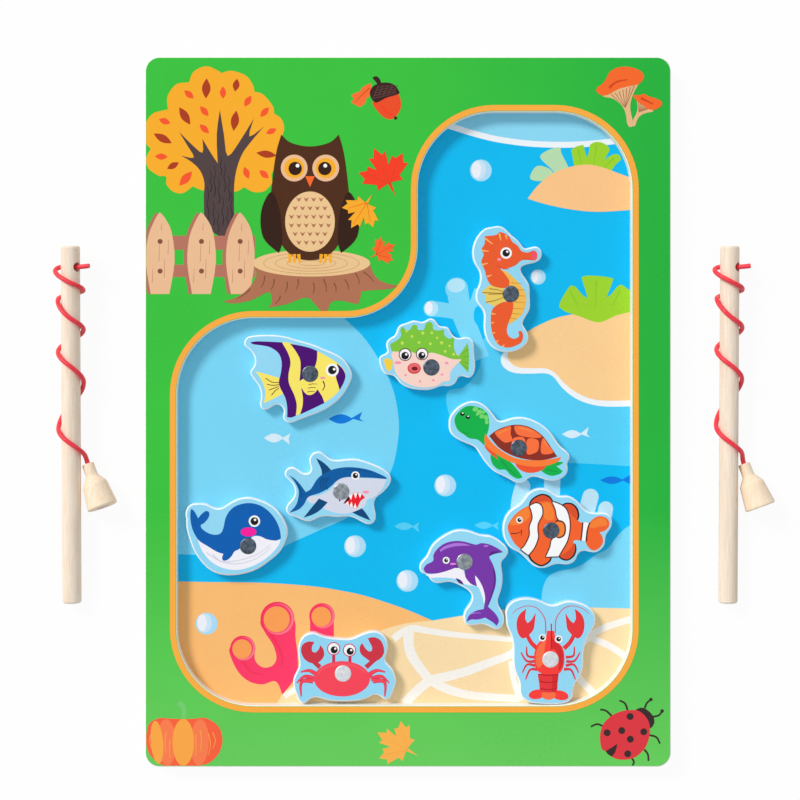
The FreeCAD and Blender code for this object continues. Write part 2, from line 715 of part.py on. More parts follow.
def turned_plate(name, width, length, edge, kind):
    """A round plate on the Y axis, from its origin towards -Y."""
    body = new_body(name)
    plate = pad(body, circle_sketch(body, name + "_outline", width, "XZ_Plane"), length)
    soften(body, plate, lambda each: each.BoundBox.YLength < 1e-4, edge, kind)
    return body


def lure_magnet(side):
    """A plain round magnet, flush with the lure's foot."""
    magnet = turned_plate(
        side + "_magnet", "sizes.magnet_width", "sizes.magnet_length", "sizes.disc_edge", "Chamfer"
    )
    place_in_lure(magnet, side, "sizes.lure_length - sizes.magnet_length")
    return magnet


def cord_knot(side):
    """The knot that holds the cord in the lure, as one plain rounded solid."""
    knot = turned_plate(
        side + "_knot", "sizes.knot_width", "sizes.knot_length", "sizes.knot_length / 3", "Fillet"
    )
    place_in_lure(knot, side, f"sizes.lure_length - {SEAT_DEPTH}")
    return knot


# The whole set

pieces = [base_board(), frame_board()]
for creature_name in RESTS:
    lie(creature_name)
    pieces += [creature(creature_name), creature_disc(creature_name)]
for rod_side in ROD_X:
    pieces += [
        rod(rod_side),
        cord(rod_side),
        lure(rod_side),
        lure_magnet(rod_side),
        cord_knot(rod_side),
    ]
doc.recompute()

for thing in doc.Objects:
    if {"Invalid", "Error"} & set(thing.State):
        raise RuntimeError(f"{thing.Name} failed: {thing.State}")
for piece in pieces:
    if piece.Shape.isNull() or not piece.Shape.isValid():
        raise RuntimeError(f"{piece.Label} has no valid shape")
    if len(piece.Shape.Solids) != 1:
        raise RuntimeError(f"{piece.Label} is not one solid")

os.makedirs("parts", exist_ok=True)
for piece in pieces:
    piece.Shape.exportStep(f"parts/{piece.Label}.step")
    box = piece.Shape.optimalBoundingBox(True)
    low = f"{box.XMin:.1f} {box.YMin:.1f} {box.ZMin:.2f}"
    high = f"{box.XMax:.1f} {box.YMax:.1f} {box.ZMax:.2f}"
    print(f"{piece.Label}: {low} to {high}, {piece.Shape.Volume:.0f} mm3")
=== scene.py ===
import math

import bpy
from mathutils import Euler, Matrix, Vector


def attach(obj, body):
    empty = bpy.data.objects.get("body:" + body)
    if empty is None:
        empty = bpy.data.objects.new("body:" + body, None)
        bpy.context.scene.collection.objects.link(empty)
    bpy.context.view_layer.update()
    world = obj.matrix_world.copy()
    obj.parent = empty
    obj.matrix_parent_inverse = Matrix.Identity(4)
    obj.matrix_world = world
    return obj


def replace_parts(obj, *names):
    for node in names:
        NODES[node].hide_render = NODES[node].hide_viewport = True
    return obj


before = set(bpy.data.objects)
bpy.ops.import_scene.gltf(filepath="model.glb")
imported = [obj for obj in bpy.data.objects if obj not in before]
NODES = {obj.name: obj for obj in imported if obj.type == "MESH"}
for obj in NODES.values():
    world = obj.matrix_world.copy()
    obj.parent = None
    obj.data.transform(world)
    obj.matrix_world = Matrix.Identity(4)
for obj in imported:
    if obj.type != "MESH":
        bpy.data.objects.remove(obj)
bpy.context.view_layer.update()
MM = 0.001

# The board's sizes in millimetres, as the part's own source has them
BOARD_WIDTH = 220.0
BOARD_LENGTH = 297.0
FLOOR_TOP = 3.0
FRAME_TOP = 9.0
CREATURE_TOP = 8.0
WALL_LEFT = -96.7
WALL_RIGHT = 93.6
WALL_BOTTOM = -122.8
WALL_TOP = 125.5
BAY_WALL = 4.1
BANK = 39.3
POND_CORNER = 32.0
BANK_ROUND = 30.0
FRAME_EDGE = 0.5
ARC_STEPS = 16
INK = 0.008
NEAREST = 0.004

# Where the camera and the light stand, in millimetres and degrees, and the camera's clip, in metres
CAMERA_OVER = (-16.0, 32.0)
CAMERA_HEIGHT = 850.0
IMAGE_MIDDLE = (-3.35, 4.98)
IMAGE_WIDTH = 334.64
SENSOR = 36.0
NEAR_CLIP = 0.01
FAR_CLIP = 20.0
SUN_TURN = -131.0
SUN_TILT = 51.0
SUN_SOFTNESS = 17.0
SUN_STRENGTH = 2.0
SKY_STRENGTH = 0.56
SKY_COLOUR = (0.95, 1.0, 1.03, 1.0)
SUN_COLOUR = (1.05, 1.0, 0.96)

# The centre of each creature's steel disc on the board
DISC_AT = {
    "seahorse": (43.1, 49.4), "pufferfish": (9.8, 18.6), "angelfish": (-41.0, 15.9),
    "turtle": (46.4, -15.1), "clownfish": (60.0, -49.7), "shark": (-28.0, -33.4), "whale": (-67.0, -56.2),
    "dolphin": (23.7, -62.8), "crab": (-27.2, -109.6), "lobster": (59.7, -103.7),
}

# The printing inks, as they look on the real thing
INKS = {
    "green": (58, 196, 62), "green_right": (36, 180, 62), "green_foot": (104, 206, 92),
    "orange_line": (254, 174, 66), "autumn": (255, 176, 40), "rust": (176, 60, 26),
    "coral_leaf": (250, 88, 44), "trunk": (82, 66, 66), "trunk_dark": (52, 40, 44),
    "bird_brown": (78, 42, 20), "brown_dark": (52, 26, 14), "picket": (238, 190, 148),
    "picket_side": (184, 116, 96), "stump": (178, 114, 84), "stump_dark": (136, 80, 58),
    "stump_top": (240, 200, 146), "stump_ring": (212, 164, 108), "maple_red": (252, 62, 34),
    "acorn_cap": (58, 30, 30), "acorn_mesh": (104, 70, 64), "acorn_nut": (240, 78, 36),
    "oak_leaf": (252, 112, 52), "mushroom": (252, 106, 40), "mushroom_dark": (216, 72, 28),
    "mushroom_stem": (236, 188, 138), "mushroom_gill": (176, 122, 84), "pumpkin": (252, 126, 78),
    "pumpkin_light": (254, 168, 70), "pumpkin_side": (250, 98, 62), "pumpkin_stem": (118, 204, 112),
    "maple_orange": (254, 178, 78), "bug_red": (222, 56, 66), "bug_black": (58, 42, 44),
    "water": (0, 187, 242), "water_light": (122, 214, 246), "water_shore": (84, 206, 246),
    "surface": (140, 216, 244), "foam": (240, 246, 252), "foam_warm": (248, 244, 237),
    "island": (255, 198, 138), "beach": (255, 208, 148), "sand": (255, 190, 116),
    "sand_pale": (252, 222, 172), "weed_pale": (184, 222, 176), "weed": (158, 212, 44),
    "weed_dark": (128, 200, 40), "reef_pale": (124, 216, 246), "reef_tip": (184, 230, 248),
    "reef_dim": (176, 224, 244), "finger": (190, 226, 242), "bubble": (176, 222, 248),
    "bubble_rim": (150, 226, 250), "bubble_soft": (206, 232, 250), "bubble_shine": (240, 243, 253),
    "shoal_white": (218, 238, 250), "shoal_blue": (0, 122, 220), "shoal_pale": (86, 208, 246),
    "tube": (255, 58, 104), "tube_dark": (246, 50, 86), "tube_rim": (255, 118, 140),
    "tube_mouth": (255, 160, 84), "ground": (146, 218, 248), "white": (250, 250, 252),
    "black": (26, 22, 26), "ink_line": (88, 40, 34), "cheek": (250, 150, 176), "horse": (238, 92, 44),
    "horse_dark": (226, 74, 40), "horse_belly": (244, 190, 84), "horse_rib": (214, 150, 50),
    "horse_fin": (234, 204, 98), "horse_ray": (150, 104, 44), "horse_spine": (255, 176, 98),
    "horse_mouth": (246, 84, 98), "puffer": (126, 198, 60), "puffer_spot": (196, 226, 84),
    "puffer_belly": (252, 214, 202), "puffer_fin": (252, 210, 60), "puffer_tail_ray": (94, 166, 44),
    "lips": (238, 104, 108), "lips_line": (206, 54, 62), "mouth_dark": (120, 20, 28), "angel": (74, 0, 112),
    "angel_yellow": (253, 232, 104), "turtle_skin": (12, 178, 74), "turtle_shade": (8, 150, 60),
    "turtle_spot": (120, 216, 110), "shell": (252, 112, 60), "shell_light": (255, 134, 66),
    "shell_seam": (140, 46, 34), "shell_rim": (254, 126, 54), "shell_under": (240, 84, 46),
    "clown": (246, 100, 44), "clown_light": (248, 130, 52), "clown_fin": (220, 80, 42),
    "shark_blue": (0, 92, 162), "shark_dark": (0, 70, 122), "shark_belly": (216, 220, 236),
    "shark_mouth": (240, 24, 42), "whale": (0, 94, 178), "whale_belly": (246, 244, 252),
    "whale_fold": (214, 216, 232), "whale_cheek": (250, 26, 158), "dolphin": (120, 54, 168),
    "dolphin_light": (176, 118, 220), "dolphin_dark": (84, 36, 130), "dolphin_lip": (240, 130, 220),
    "crab": (250, 70, 90), "crab_light": (252, 84, 100), "crab_claw": (208, 52, 70),
    "crab_line": (204, 44, 84), "lobster": (252, 62, 58), "lobster_light": (254, 112, 68),
    "lobster_claw": (232, 54, 60), "lobster_side": (214, 40, 46), "lobster_dark": (180, 26, 34),
    "lobster_leg": (222, 56, 66), "feeler": (206, 90, 130),
}


# Colours and materials

# Noise scales are in cells for each metre and depths in metres. Each span is the part of a noise
# that is spread over the whole way from one look to the other.
PRINT_GRAIN = 900.0
PRINT_DRIFT = 26.0
GLOSS_PATCHES = 240.0
PRINT_TOOTH = 1400.0
TOOTH_DEPTH = 0.00002
PRINT_SHINE = 0.18
CORE_GRAIN = (90.0, 90.0, 900.0)
CORE_LAYERS = 3.0
GRAIN_SPAN = (0.35, 0.65)
PATCH_SPAN = (0.3, 0.7)
PRINT_GLOSS = (0.36, 0.50)
WORN_EDGE = (232, 246, 253)
EDGE_PATCHES = 300.0
VARNISH_GLOSS = (0.24, 0.36)
VARNISH_COAT = 0.35
VARNISH_ROUGH = 0.18
VARNISH_TOOTH = 0.00003
FIBRE_DEPTH = 0.00006
STEEL_DEPTH = 0.00004
WOOD_SQUEEZE = 0.045
WOOD_FIBRES = 1500.0
WOOD_BANDS = 210.0
WOOD_PORES = 3200.0
WOOD_SHINE = 0.28
STEEL_CRYSTALS = 560.0
STEEL_SPECKLE = 620.0
UP_SPAN = (0.90, 0.97)
DRIFT_SPAN = (0.32, 0.68)
WEAR_SPAN = (0.38, 0.66)
FIBRE_SPAN = (0.36, 0.66)
BAND_SPAN = (0.34, 0.68)
PORE_SPAN = (0.60, 0.72)
CRYSTAL_SPAN = (0.1, 0.75)
# How much lighter or darker than its ink a printed field may be
INK_THIN = 0.965
INK_FULL = 1.02
INK_DEEP = 1.035
# The sockets of a mix node that carry its two colours and the result
MIX_FIRST = 6
MIX_SECOND = 7
MIX_RESULT = 2
# The lawn's green changes between these places on the board, in metres; the change is partly the print's own
# tone and partly painted light
LAWN_FOOT = (-0.150, -0.040)
LAWN_RIGHT = (0.0, 0.105)


def solid(rgb, factor=1.0):
    """A colour as a screen shows it, turned into the light it reflects, made lighter or darker."""
    out = []
    for level in rgb:
        share = level / 255.0
        light = share / 12.92 if share <= 0.04045 else ((share + 0.055) / 1.055) ** 2.4
        out.append(min(light * factor, 1.0))
    return (*out, 1.0)


class Paint:
    """A procedural material in the making."""

    def __init__(self, name):
        self.material = bpy.data.materials.new(name)
        self.material.use_nodes = True
        self.tree = self.material.node_tree
        self.shader = self.tree.nodes["Principled BSDF"].inputs
        self.place = self.node("ShaderNodeTexCoord").outputs["Object"]

    def node(self, kind, **inputs):
        made = self.tree.nodes.new(kind)
        for name, value in inputs.items():
            self.feed(value, made.inputs[name.replace("_", " ")])
        return made

    def feed(self, value, socket):
        if isinstance(value, bpy.types.NodeSocket):
            self.tree.links.new(value, socket)
        else:
            socket.default_value = value

    def settings(self, **inputs):
        """Values or links for the shader's own sockets."""
        for name, value in inputs.items():
            self.feed(value, self.shader[name.replace("_", " ")])

    def stretched(self, scale):
        """The place on the object, drawn out along some axes for grain."""
        return self.node("ShaderNodeMapping", Scale=scale, Vector=self.place).outputs["Vector"]

    def noise(self, scale, place=None, detail=3.0, roughness=0.55):
        place = place or self.place
        return self.node(
            "ShaderNodeTexNoise", Scale=scale, Detail=detail, Roughness=roughness, Vector=place
        ).outputs["Fac"]

    def ramp(self, factor, low, high, to_low=0.0, to_high=1.0):
        return self.node(
            "ShaderNodeMapRange", From_Min=low, From_Max=high, To_Min=to_low, To_Max=to_high, Value=factor
        ).outputs["Result"]

    def spread(self, factor, low, high):
        """A share from 0 to 1, spread between two levels."""
        return self.ramp(factor, 0.0, 1.0, low, high)

    def cloud(self, scale, span, levels=(0.0, 1.0), **more):
        """Soft patches: the noise inside a span, spread between two levels."""
        return self.ramp(self.noise(scale, **more), *span, *levels)

    def axis(self, vector, name):
        return self.node("ShaderNodeSeparateXYZ", Vector=vector).outputs[name]

    def blend(self, factor, first, second):
        made = self.tree.nodes.new("ShaderNodeMix")
        made.data_type = "RGBA"
        self.feed(factor, made.inputs["Factor"])
        self.feed(first, made.inputs[MIX_FIRST])
        self.feed(second, made.inputs[MIX_SECOND])
        return made.outputs[MIX_RESULT]

    def bump(self, height, distance, strength):
        made = self.node("ShaderNodeBump", Strength=strength, Distance=distance, Height=height)
        self.settings(Normal=made.outputs["Normal"])

    def on_top(self, side, top):
        """One colour on the faces that look up and another on the sides."""
        normal = self.node("ShaderNodeNewGeometry").outputs["True Normal"]
        return self.blend(self.ramp(self.axis(normal, "Z"), *UP_SPAN), side, top)

    def ink(self, name):
        """Ink on board: a faint print grain and slow changes of depth."""
        rgb = INKS[name]
        fine = self.blend(self.cloud(PRINT_GRAIN, GRAIN_SPAN), solid(rgb, INK_THIN), solid(rgb, INK_FULL))
        return self.blend(self.cloud(PRINT_DRIFT, DRIFT_SPAN, detail=2.0), fine, solid(rgb, INK_DEEP))

    def lawn(self):
        """The frame's green: lighter and yellower at the foot of the board, darker and cooler at its right,
        partly the print's own tone and partly painted light.
        """
        up = self.ramp(self.axis(self.place, "Y"), *LAWN_FOOT)
        across = self.ramp(self.axis(self.place, "X"), *LAWN_RIGHT)
        upper = self.blend(across, self.ink("green"), self.ink("green_right"))
        return self.blend(up, self.ink("green_foot"), upper)

    def satin(self, colour):
        """A printed face: its colour, a patchy satin gloss and the board's fine tooth."""
        gloss = self.cloud(GLOSS_PATCHES, PATCH_SPAN, PRINT_GLOSS)
        self.settings(Base_Color=colour, Roughness=gloss, Specular_IOR_Level=PRINT_SHINE)
        self.bump(self.noise(PRINT_TOOTH), TOOTH_DEPTH, 0.35)
        return self.material


inks = {}


def ink(name):
    if name not in inks:
        paint = Paint("ink_" + name)
        inks[name] = paint.satin(paint.ink(name))
    return inks[name]


def printed_board(name, ink_name, core, edge):
    """A printed top over sides of another colour."""
    paint = Paint(name)
    top = paint.lawn() if ink_name == "green" else paint.ink(ink_name)
    grain = paint.cloud(CORE_LAYERS, GRAIN_SPAN, place=paint.stretched(CORE_GRAIN))
    return paint.satin(paint.on_top(paint.blend(grain, solid(core), solid(edge)), top))


def painted_block(name, ink_name, edge):
    """A creature's varnished block: ground colour on top, paler and glossier round the edge."""
    paint = Paint(name)
    side = paint.blend(paint.cloud(EDGE_PATCHES, WEAR_SPAN), solid(edge), solid(WORN_EDGE))
    gloss = paint.cloud(GLOSS_PATCHES, PATCH_SPAN, VARNISH_GLOSS)
    paint.settings(Base_Color=paint.on_top(side, paint.ink(ink_name)), Roughness=gloss)
    paint.settings(Coat_Weight=VARNISH_COAT, Coat_Roughness=VARNISH_ROUGH)
    paint.bump(paint.noise(PRINT_GRAIN), VARNISH_TOOTH, 0.4)
    return paint.material


def wood(name, pale, dark, rough_level=0.55):
    """Bare close-grained wood: fine fibres along the piece and slow bands of tone."""
    paint = Paint(name)
    drawn = paint.stretched((1.0, WOOD_SQUEEZE, 1.0))
    fibres = paint.cloud(WOOD_FIBRES, FIBRE_SPAN, place=drawn, detail=4.0, roughness=0.62)
    bands = paint.cloud(WOOD_BANDS, BAND_SPAN, place=drawn, detail=2.0)
    pores = paint.cloud(WOOD_PORES, PORE_SPAN, place=drawn, detail=2.0)
    fine = paint.blend(fibres, solid(pale), solid(dark, 1.06))
    soft = paint.blend(paint.spread(bands, 0.15, 0.55), fine, paint.blend(bands, fine, solid(dark)))
    flecked = paint.blend(paint.spread(pores, 0.0, 0.28), soft, solid(dark, 0.82))
    rough = paint.spread(fibres, rough_level, rough_level + 0.12)
    paint.settings(Base_Color=flecked, Roughness=rough, Specular_IOR_Level=WOOD_SHINE)
    paint.bump(fibres, FIBRE_DEPTH, 0.5)
    return paint.material


def metal(name, pale, dark, rough_low, rough_high, plating=1.0):
    """Plated steel with a crystalline bloom and fine scratches."""
    paint = Paint(name)
    cells = paint.node("ShaderNodeTexVoronoi", Scale=STEEL_CRYSTALS, Randomness=1.0, Vector=paint.place)
    speckle = paint.cloud(STEEL_SPECKLE, BAND_SPAN)
    crystal = paint.ramp(cells.outputs["Distance"], *CRYSTAL_SPAN)
    body = paint.blend(speckle, solid(dark), solid(pale))
    mixed = paint.blend(paint.spread(crystal, 0.0, 0.45), body, solid(pale, 0.9))
    paint.settings(Base_Color=mixed, Roughness=paint.spread(speckle, rough_low, rough_high), Metallic=plating)
    paint.bump(speckle, STEEL_DEPTH, 0.6)
    return paint.material


def dress(node_name, material):
    """The CAD node keeps its shape and gets a better finish."""
    materials = NODES[node_name].data.materials
    if not materials:
        materials.append(material)
    for place in range(len(materials)):
        materials[place] = material


def new_piece(name, mesh):
    """A mesh or curve as a piece of the scene that rides on the part's one body."""
    piece = bpy.data.objects.new(name, mesh)
    bpy.context.scene.collection.objects.link(piece)
    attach(piece, "root")
    return piece


# Flat shapes: every one is a closed list of points in millimetres

def ellipse(x, y, rx, ry=None, turn=0.0, steps=40):
    """An ellipse round x, y with its long axis turned by some degrees."""
    ry = rx if ry is None else ry
    points = []
    cosine = math.cos(math.radians(turn))
    sine = math.sin(math.radians(turn))
    for step in range(steps):
        angle = 2.0 * math.pi * step / steps
        across = rx * math.cos(angle)
        up = ry * math.sin(angle)
        points.append((x + across * cosine - up * sine, y + across * sine + up * cosine))
    return points


def lens(x, y, half_length, half_width, turn=0.0, steps=10):
    """A leaf with two pointed ends."""
    points = []
    for side in (1.0, -1.0):
        for step in range(steps):
            share = step / steps
            along = side * half_length * (1.0 - 2.0 * share)
            away = side * half_width * math.sin(math.pi * share)
            points.append((along, away))
    return moved(points, x, y, turn)


def moved(points, x, y, turn=0.0, size=1.0):
    cosine = math.cos(math.radians(turn)) * size
    sine = math.sin(math.radians(turn)) * size
    return [(x + a * cosine - b * sine, y + a * sine + b * cosine) for a, b in points]


def mirrored(half, axis=0.0):
    """A whole outline from one half, whose first and last points lie on the axis."""
    return half + [(2 * axis - x, y) for x, y in reversed(half[1:-1])]


def grown(line, by):
    """A dense outline, moved outwards by some millimetres."""
    points = []
    for at, (x, y) in enumerate(line):
        before = line[at - 1]
        after = line[(at + 1) % len(line)]
        size = math.hypot(after[1] - before[1], after[0] - before[0]) or 1.0
        points.append((x - by * (after[1] - before[1]) / size, y + by * (after[0] - before[0]) / size))
    return points


def curve_through(a, b, c, d, share):
    """A point between b and c on the smooth line through all four."""
    out = []
    for p, q, r, s in zip(a, b, c, d):
        square = share * share
        cube = square * share
        out.append(0.5 * (2 * q + (r - p) * share + (
            2 * p - 5 * q + 4 * r - s
        ) * square + (3 * q - p - 3 * r + s) * cube))
    return tuple(out)


def smooth(points, corners=(), steps=5):
    """A closed outline through the points, with a sharp corner at each numbered one."""
    count = len(points)
    result = []
    for at in range(count):
        b = points[at]
        c = points[(at + 1) % count]
        a = b if at in corners else points[at - 1]
        d = c if (at + 1) % count in corners else points[(at + 2) % count]
        for step in range(steps):
            result.append(curve_through(a, b, c, d, step / steps))
    return result


def line_through(points, steps=6):
    """An open smooth line through the points."""
    result = []
    last = len(points) - 1
    for at in range(last):
        a = points[max(at - 1, 0)]
        d = points[min(at + 2, last)]
        for step in range(steps):
            result.append(curve_through(a, points[at], points[at + 1], d, step / steps))
    result.append(points[-1])
    return result


def stroke(points, width, end_width=None, steps=6):
    """A drawn line of some width, which may taper to its end."""
    line = line_through(points, steps) if len(points) > 2 else list(points)
    end_width = width if end_width is None else end_width
    left = []
    right = []
    for at, (x, y) in enumerate(line):
        before = line[max(at - 1, 0)]
        after = line[min(at + 1, len(line) - 1)]
        along = (after[0] - before[0], after[1] - before[1])
        size = math.hypot(*along) or 1.0
        half = 0.5 * (width + (end_width - width) * at / (len(line) - 1))
        across = (-along[1] / size * half, along[0] / size * half)
        left.append((x + across[0], y + across[1]))
        right.append((x - across[0], y - across[1]))
    return left + right[::-1]


def kept_inside(points, low, high):
    """The part of an outline inside a rectangle."""
    for axis in (0, 1):
        for edge, sign in ((low[axis], 1.0), (high[axis], -1.0)):
            result = []
            for at, here in enumerate(points):
                before = points[at - 1]
                here_in = sign * (here[axis] - edge) >= 0.0
                before_in = sign * (before[axis] - edge) >= 0.0
                if here_in != before_in:
                    share = (edge - before[axis]) / (here[axis] - before[axis])
                    result.append(tuple(p + (q - p) * share for p, q in zip(before, here)))
                if here_in:
                    result.append(here)
            points = result
            if not points:
                return []
    return points


def limits(points):
    xs = [point[0] for point in points]
    ys = [point[1] for point in points]
    return min(xs), min(ys), max(xs), max(ys)


def well_spaced(points):
    """The outline without points that all but repeat the one before."""
    kept = []
    for point in points:
        if not kept or math.dist(point, kept[-1]) > NEAREST:
            kept.append(point)
    if math.dist(kept[0], kept[-1]) <= NEAREST:
        kept.pop()
    return kept


def signed_area(points):
    """Twice the outline's area, below nothing where it runs clockwise."""
    return sum(points[at - 1][0] * y - x * points[at - 1][1] for at, (x, y) in enumerate(points))


class Print:
    """A printed face: flat fields of ink, each laid over those it covers."""

    def __init__(self, name, height, middle=(0.0, 0.0), keep=None):
        self.name = name
        self.height = height
        self.middle = middle
        self.keep = keep
        self.fields = []

    def add(self, colour, *outlines):
        for outline in outlines:
            points = [(x + self.middle[0], y + self.middle[1]) for x, y in outline]
            if self.keep:
                points = kept_inside(points, *self.keep)
            if len(points) < 3:
                continue
            box = limits(points)
            self.fields.append((colour, points, box, self.next_level(box)))

    def shape(self, colour, points, corners=(), steps=5):
        self.add(colour, smooth(points, corners, steps))

    def line(self, colour, points, width, end_width=None, steps=6):
        self.add(colour, stroke(points, width, end_width, steps))

    def oval(self, colour, *sizes, **more):
        self.add(colour, ellipse(*sizes, **more))

    def next_level(self, box):
        """One level above every field so far that may lie under this box."""
        level = 1
        for _, _, other, under in self.fields:
            if other[0] <= box[2] and other[2] >= box[0] and other[1] <= box[3] and other[3] >= box[1]:
                level = max(level, under + 1)
        return level

    def ring(self, colour, outer, inner):
        """A closed flat band between two outlines that have their points side by side."""
        count = len(outer)
        parts = []
        for at in range(count):
            after = (at + 1) % count
            parts.append([outer[at], outer[after], inner[after], inner[at]])
        level = max(self.next_level(limits(part)) for part in parts)
        for part in parts:
            self.fields.append((colour, part, limits(part), level))

    def make(self):
        vertices = []
        faces = []
        names = []
        colours = []
        for colour, points, _, level in self.fields:
            points = well_spaced(points)
            if len(points) < 3:
                continue
            if signed_area(points) < 0.0:
                points.reverse()
            z = (self.height + INK * level) * MM
            faces.append(tuple(range(len(vertices), len(vertices) + len(points))))
            vertices.extend((x * MM, y * MM, z) for x, y in points)
            if colour not in names:
                names.append(colour)
            colours.append(names.index(colour))
        mesh = bpy.data.meshes.new(self.name)
        mesh.from_pydata(vertices, [], faces)
        for colour in names:
            mesh.materials.append(ink(colour))
        for face, colour in zip(mesh.polygons, colours):
            face.material_index = colour
        mesh.update()
        new_piece(self.name, mesh)


# The boards

def pond_edge(away):
    """The pond's outline, moved outwards by some millimetres."""
    corner = POND_CORNER + away
    bank = BANK_ROUND - away
    left = WALL_LEFT + POND_CORNER
    right = WALL_RIGHT - POND_CORNER
    bottom = WALL_BOTTOM + POND_CORNER
    top = WALL_TOP - POND_CORNER
    turns = [
        (left, bottom, corner, 180, 270), (right, bottom, corner, 270, 360), (right, top, corner, 0, 90),
        (BAY_WALL + POND_CORNER, top, corner, 90, 180),
        (BAY_WALL - BANK_ROUND, BANK + BANK_ROUND, bank, 360, 270),
        (left, BANK - POND_CORNER, corner, 90, 180),
    ]
    points = []
    for x, y, radius, start, stop in turns:
        for step in range(ARC_STEPS + 1):
            angle = math.radians(start + (stop - start) * step / ARC_STEPS)
            points.append((x + radius * math.cos(angle), y + radius * math.sin(angle)))
    return points


BARE_EDGE = (252, 249, 243)
BARE_SHADE = (247, 243, 236)
BOARD_SIDE = (226, 214, 198)
BOARD_SIDE_SHADE = (200, 184, 164)

dress("frame_board", printed_board("frame_face", "green", BARE_EDGE, BARE_SHADE))
dress("base_board", printed_board("pond_face", "water", BOARD_SIDE, BOARD_SIDE_SHADE))


# The creatures' blocks and their steel discs

BLOCK_EDGE = (250, 253, 255)
STEEL_PALE = (122, 134, 150)
STEEL_DARK = (68, 78, 92)
# Painted reflection: lighter copies of the disc steel, near white for the crab and lobster and paler for the
# shark and dolphin, stand for the lamp those discs reflect
REFLECTION_PALE = (244, 246, 248)
REFLECTION_DARK = (212, 216, 222)
HALF_REFLECTION_PALE = (196, 202, 208)
HALF_REFLECTION_DARK = (130, 138, 146)

block_paint = painted_block("creature_block", "ground", BLOCK_EDGE)
steel = metal("disc_steel", STEEL_PALE, STEEL_DARK, 0.26, 0.44)
# Lit copies of the same steel with painted reflection; the near white one is also made less metallic so it
# reads bright
steel_painted_reflection = metal("disc_painted_reflection", REFLECTION_PALE, REFLECTION_DARK, 0.34, 0.5, 0.3)
steel_painted_half_reflection = metal("disc_painted_half_reflection", HALF_REFLECTION_PALE, HALF_REFLECTION_DARK, 0.3, 0.46)
for creature in DISC_AT:
    dress(creature, block_paint)


# The rods, their cords, lures and magnets

DOWEL_PALE = (250, 236, 220)
DOWEL_DARK = (234, 212, 188)
LURE_PALE = (253, 236, 214)
LURE_DARK = (242, 214, 182)
MAGNET_PALE = (206, 208, 212)
MAGNET_DARK = (150, 152, 158)
CORD_RED = (255, 64, 80)
# Painted shade: the darker red that fills the hollows between the stitches
CORD_HOLLOW_SHADE = (238, 38, 56)
CORD_STITCHES = 1700.0
CORD_DRIFT = 320.0
CORD_SPAN = (0.35, 0.7)
CORD_SHEEN = 0.25
SHEEN_ROUGH = 0.4
STITCH_DEPTH = 0.00012
CORD_SMOOTHNESS = 5
CORD_THICK = 2.0
ROD_RISE = 1.75
ROD_FOOT_Y = -80.5
ROD_AXIS_Z = 3.968
ROD_FOOT_X = {"left": -141.3, "right": 134.7}

dowel = wood("dowel_wood", DOWEL_PALE, DOWEL_DARK)
lure_wood = wood("lure_wood", LURE_PALE, LURE_DARK, rough_level=0.5)
magnet = metal("magnet_plate", MAGNET_PALE, MAGNET_DARK, 0.28, 0.42)


def braid():
    """A round braided cord: small slanting stitches under a satin sheen, with painted shade darkening the red
    in the hollows between the stitches.
    """
    paint = Paint("cord_braid")
    stitches = paint.node("ShaderNodeTexVoronoi", Scale=CORD_STITCHES, Randomness=0.55, Vector=paint.place)
    height = paint.ramp(stitches.outputs["Distance"], 0.0, 0.6, 1.0, 0.0)
    drift = paint.cloud(CORD_DRIFT, CORD_SPAN)
    # The low places between the stitches get the darker red: painted shade
    body = paint.blend(height, solid(CORD_HOLLOW_SHADE), solid(CORD_RED))
    bright = paint.blend(paint.spread(drift, 0.0, 0.35), body, solid(CORD_RED, 1.1))
    paint.settings(Base_Color=bright, Roughness=paint.spread(drift, 0.36, 0.5))
    paint.settings(Sheen_Weight=CORD_SHEEN, Sheen_Roughness=SHEEN_ROUGH)
    paint.bump(height, STITCH_DEPTH, 0.6)
    return paint.material


cord_braid = braid()

# The cord's way in the rod's own frame: x to the right, y along the rod from its foot, z up
THROUGH_HOLE = [
    (8.2, 141.7, 2.9), (4.3, 141.2, 1.62), (0.4, 141.2, 0.22), (-1.9, 141.2, -0.66), (-3.3, 141.2, -1.24),
    (-4.16, 141.15, -1.45), (-5.04, 140.95, -1.36), (-5.78, 140.6, -0.89), (-6.24, 140.1, -0.15),
    (-6.34, 139.5, 0.73), (-5.8, 138.6, 2.05), (-4.2, 137.2, 3.93), (-1.9, 136.0, 5.17),
]
QUARTER_TURNS = [134.9, 131.6, 129.9, 127.8, 120.1, 115.3, 110.7, 106.1, 100.2, 93.5, 84.3, 73.9]
WINDING_RADIUS = 5.45
STEPS_A_QUARTER = 3
INTO_LURE = [
    (-4.72, 71.9, 2.73), (-2.73, 69.8, 4.72), (0.0, 67.9, 5.45), (2.55, 66.0, 4.8), (4.5, 64.3, 3.15),
    (5.5, 62.9, 1.0), (6.0, 61.3, -0.9), (6.36, 59.43, -1.91), (7.68, 55.8, -1.2), (9.28, 51.42, -0.66),
    (10.87, 47.04, 0.18),
]


def winding():
    """The turns round the rod, a third of a quarter turn at a time."""
    points = []
    for step in range((len(QUARTER_TURNS) - 1) * STEPS_A_QUARTER + 1):
        clock = math.radians(90.0 - 90.0 / STEPS_A_QUARTER * step)
        quarter, part = divmod(step, STEPS_A_QUARTER)
        along = QUARTER_TURNS[quarter]
        if part:
            along += (QUARTER_TURNS[quarter + 1] - along) * part / STEPS_A_QUARTER
        points.append((WINDING_RADIUS * math.cos(clock), along, WINDING_RADIUS * math.sin(clock)))
    return points


def rod_place(side, point):
    """A point of the rod's own frame, on the table, in metres."""
    tilt = math.radians(ROD_RISE)
    x, y, z = point
    return Vector((
        ROD_FOOT_X[side] + x, ROD_FOOT_Y + y * math.cos(tilt) - z * math.sin(tilt),
        ROD_AXIS_Z + y * math.sin(tilt) + z * math.cos(tilt),
    )) * MM


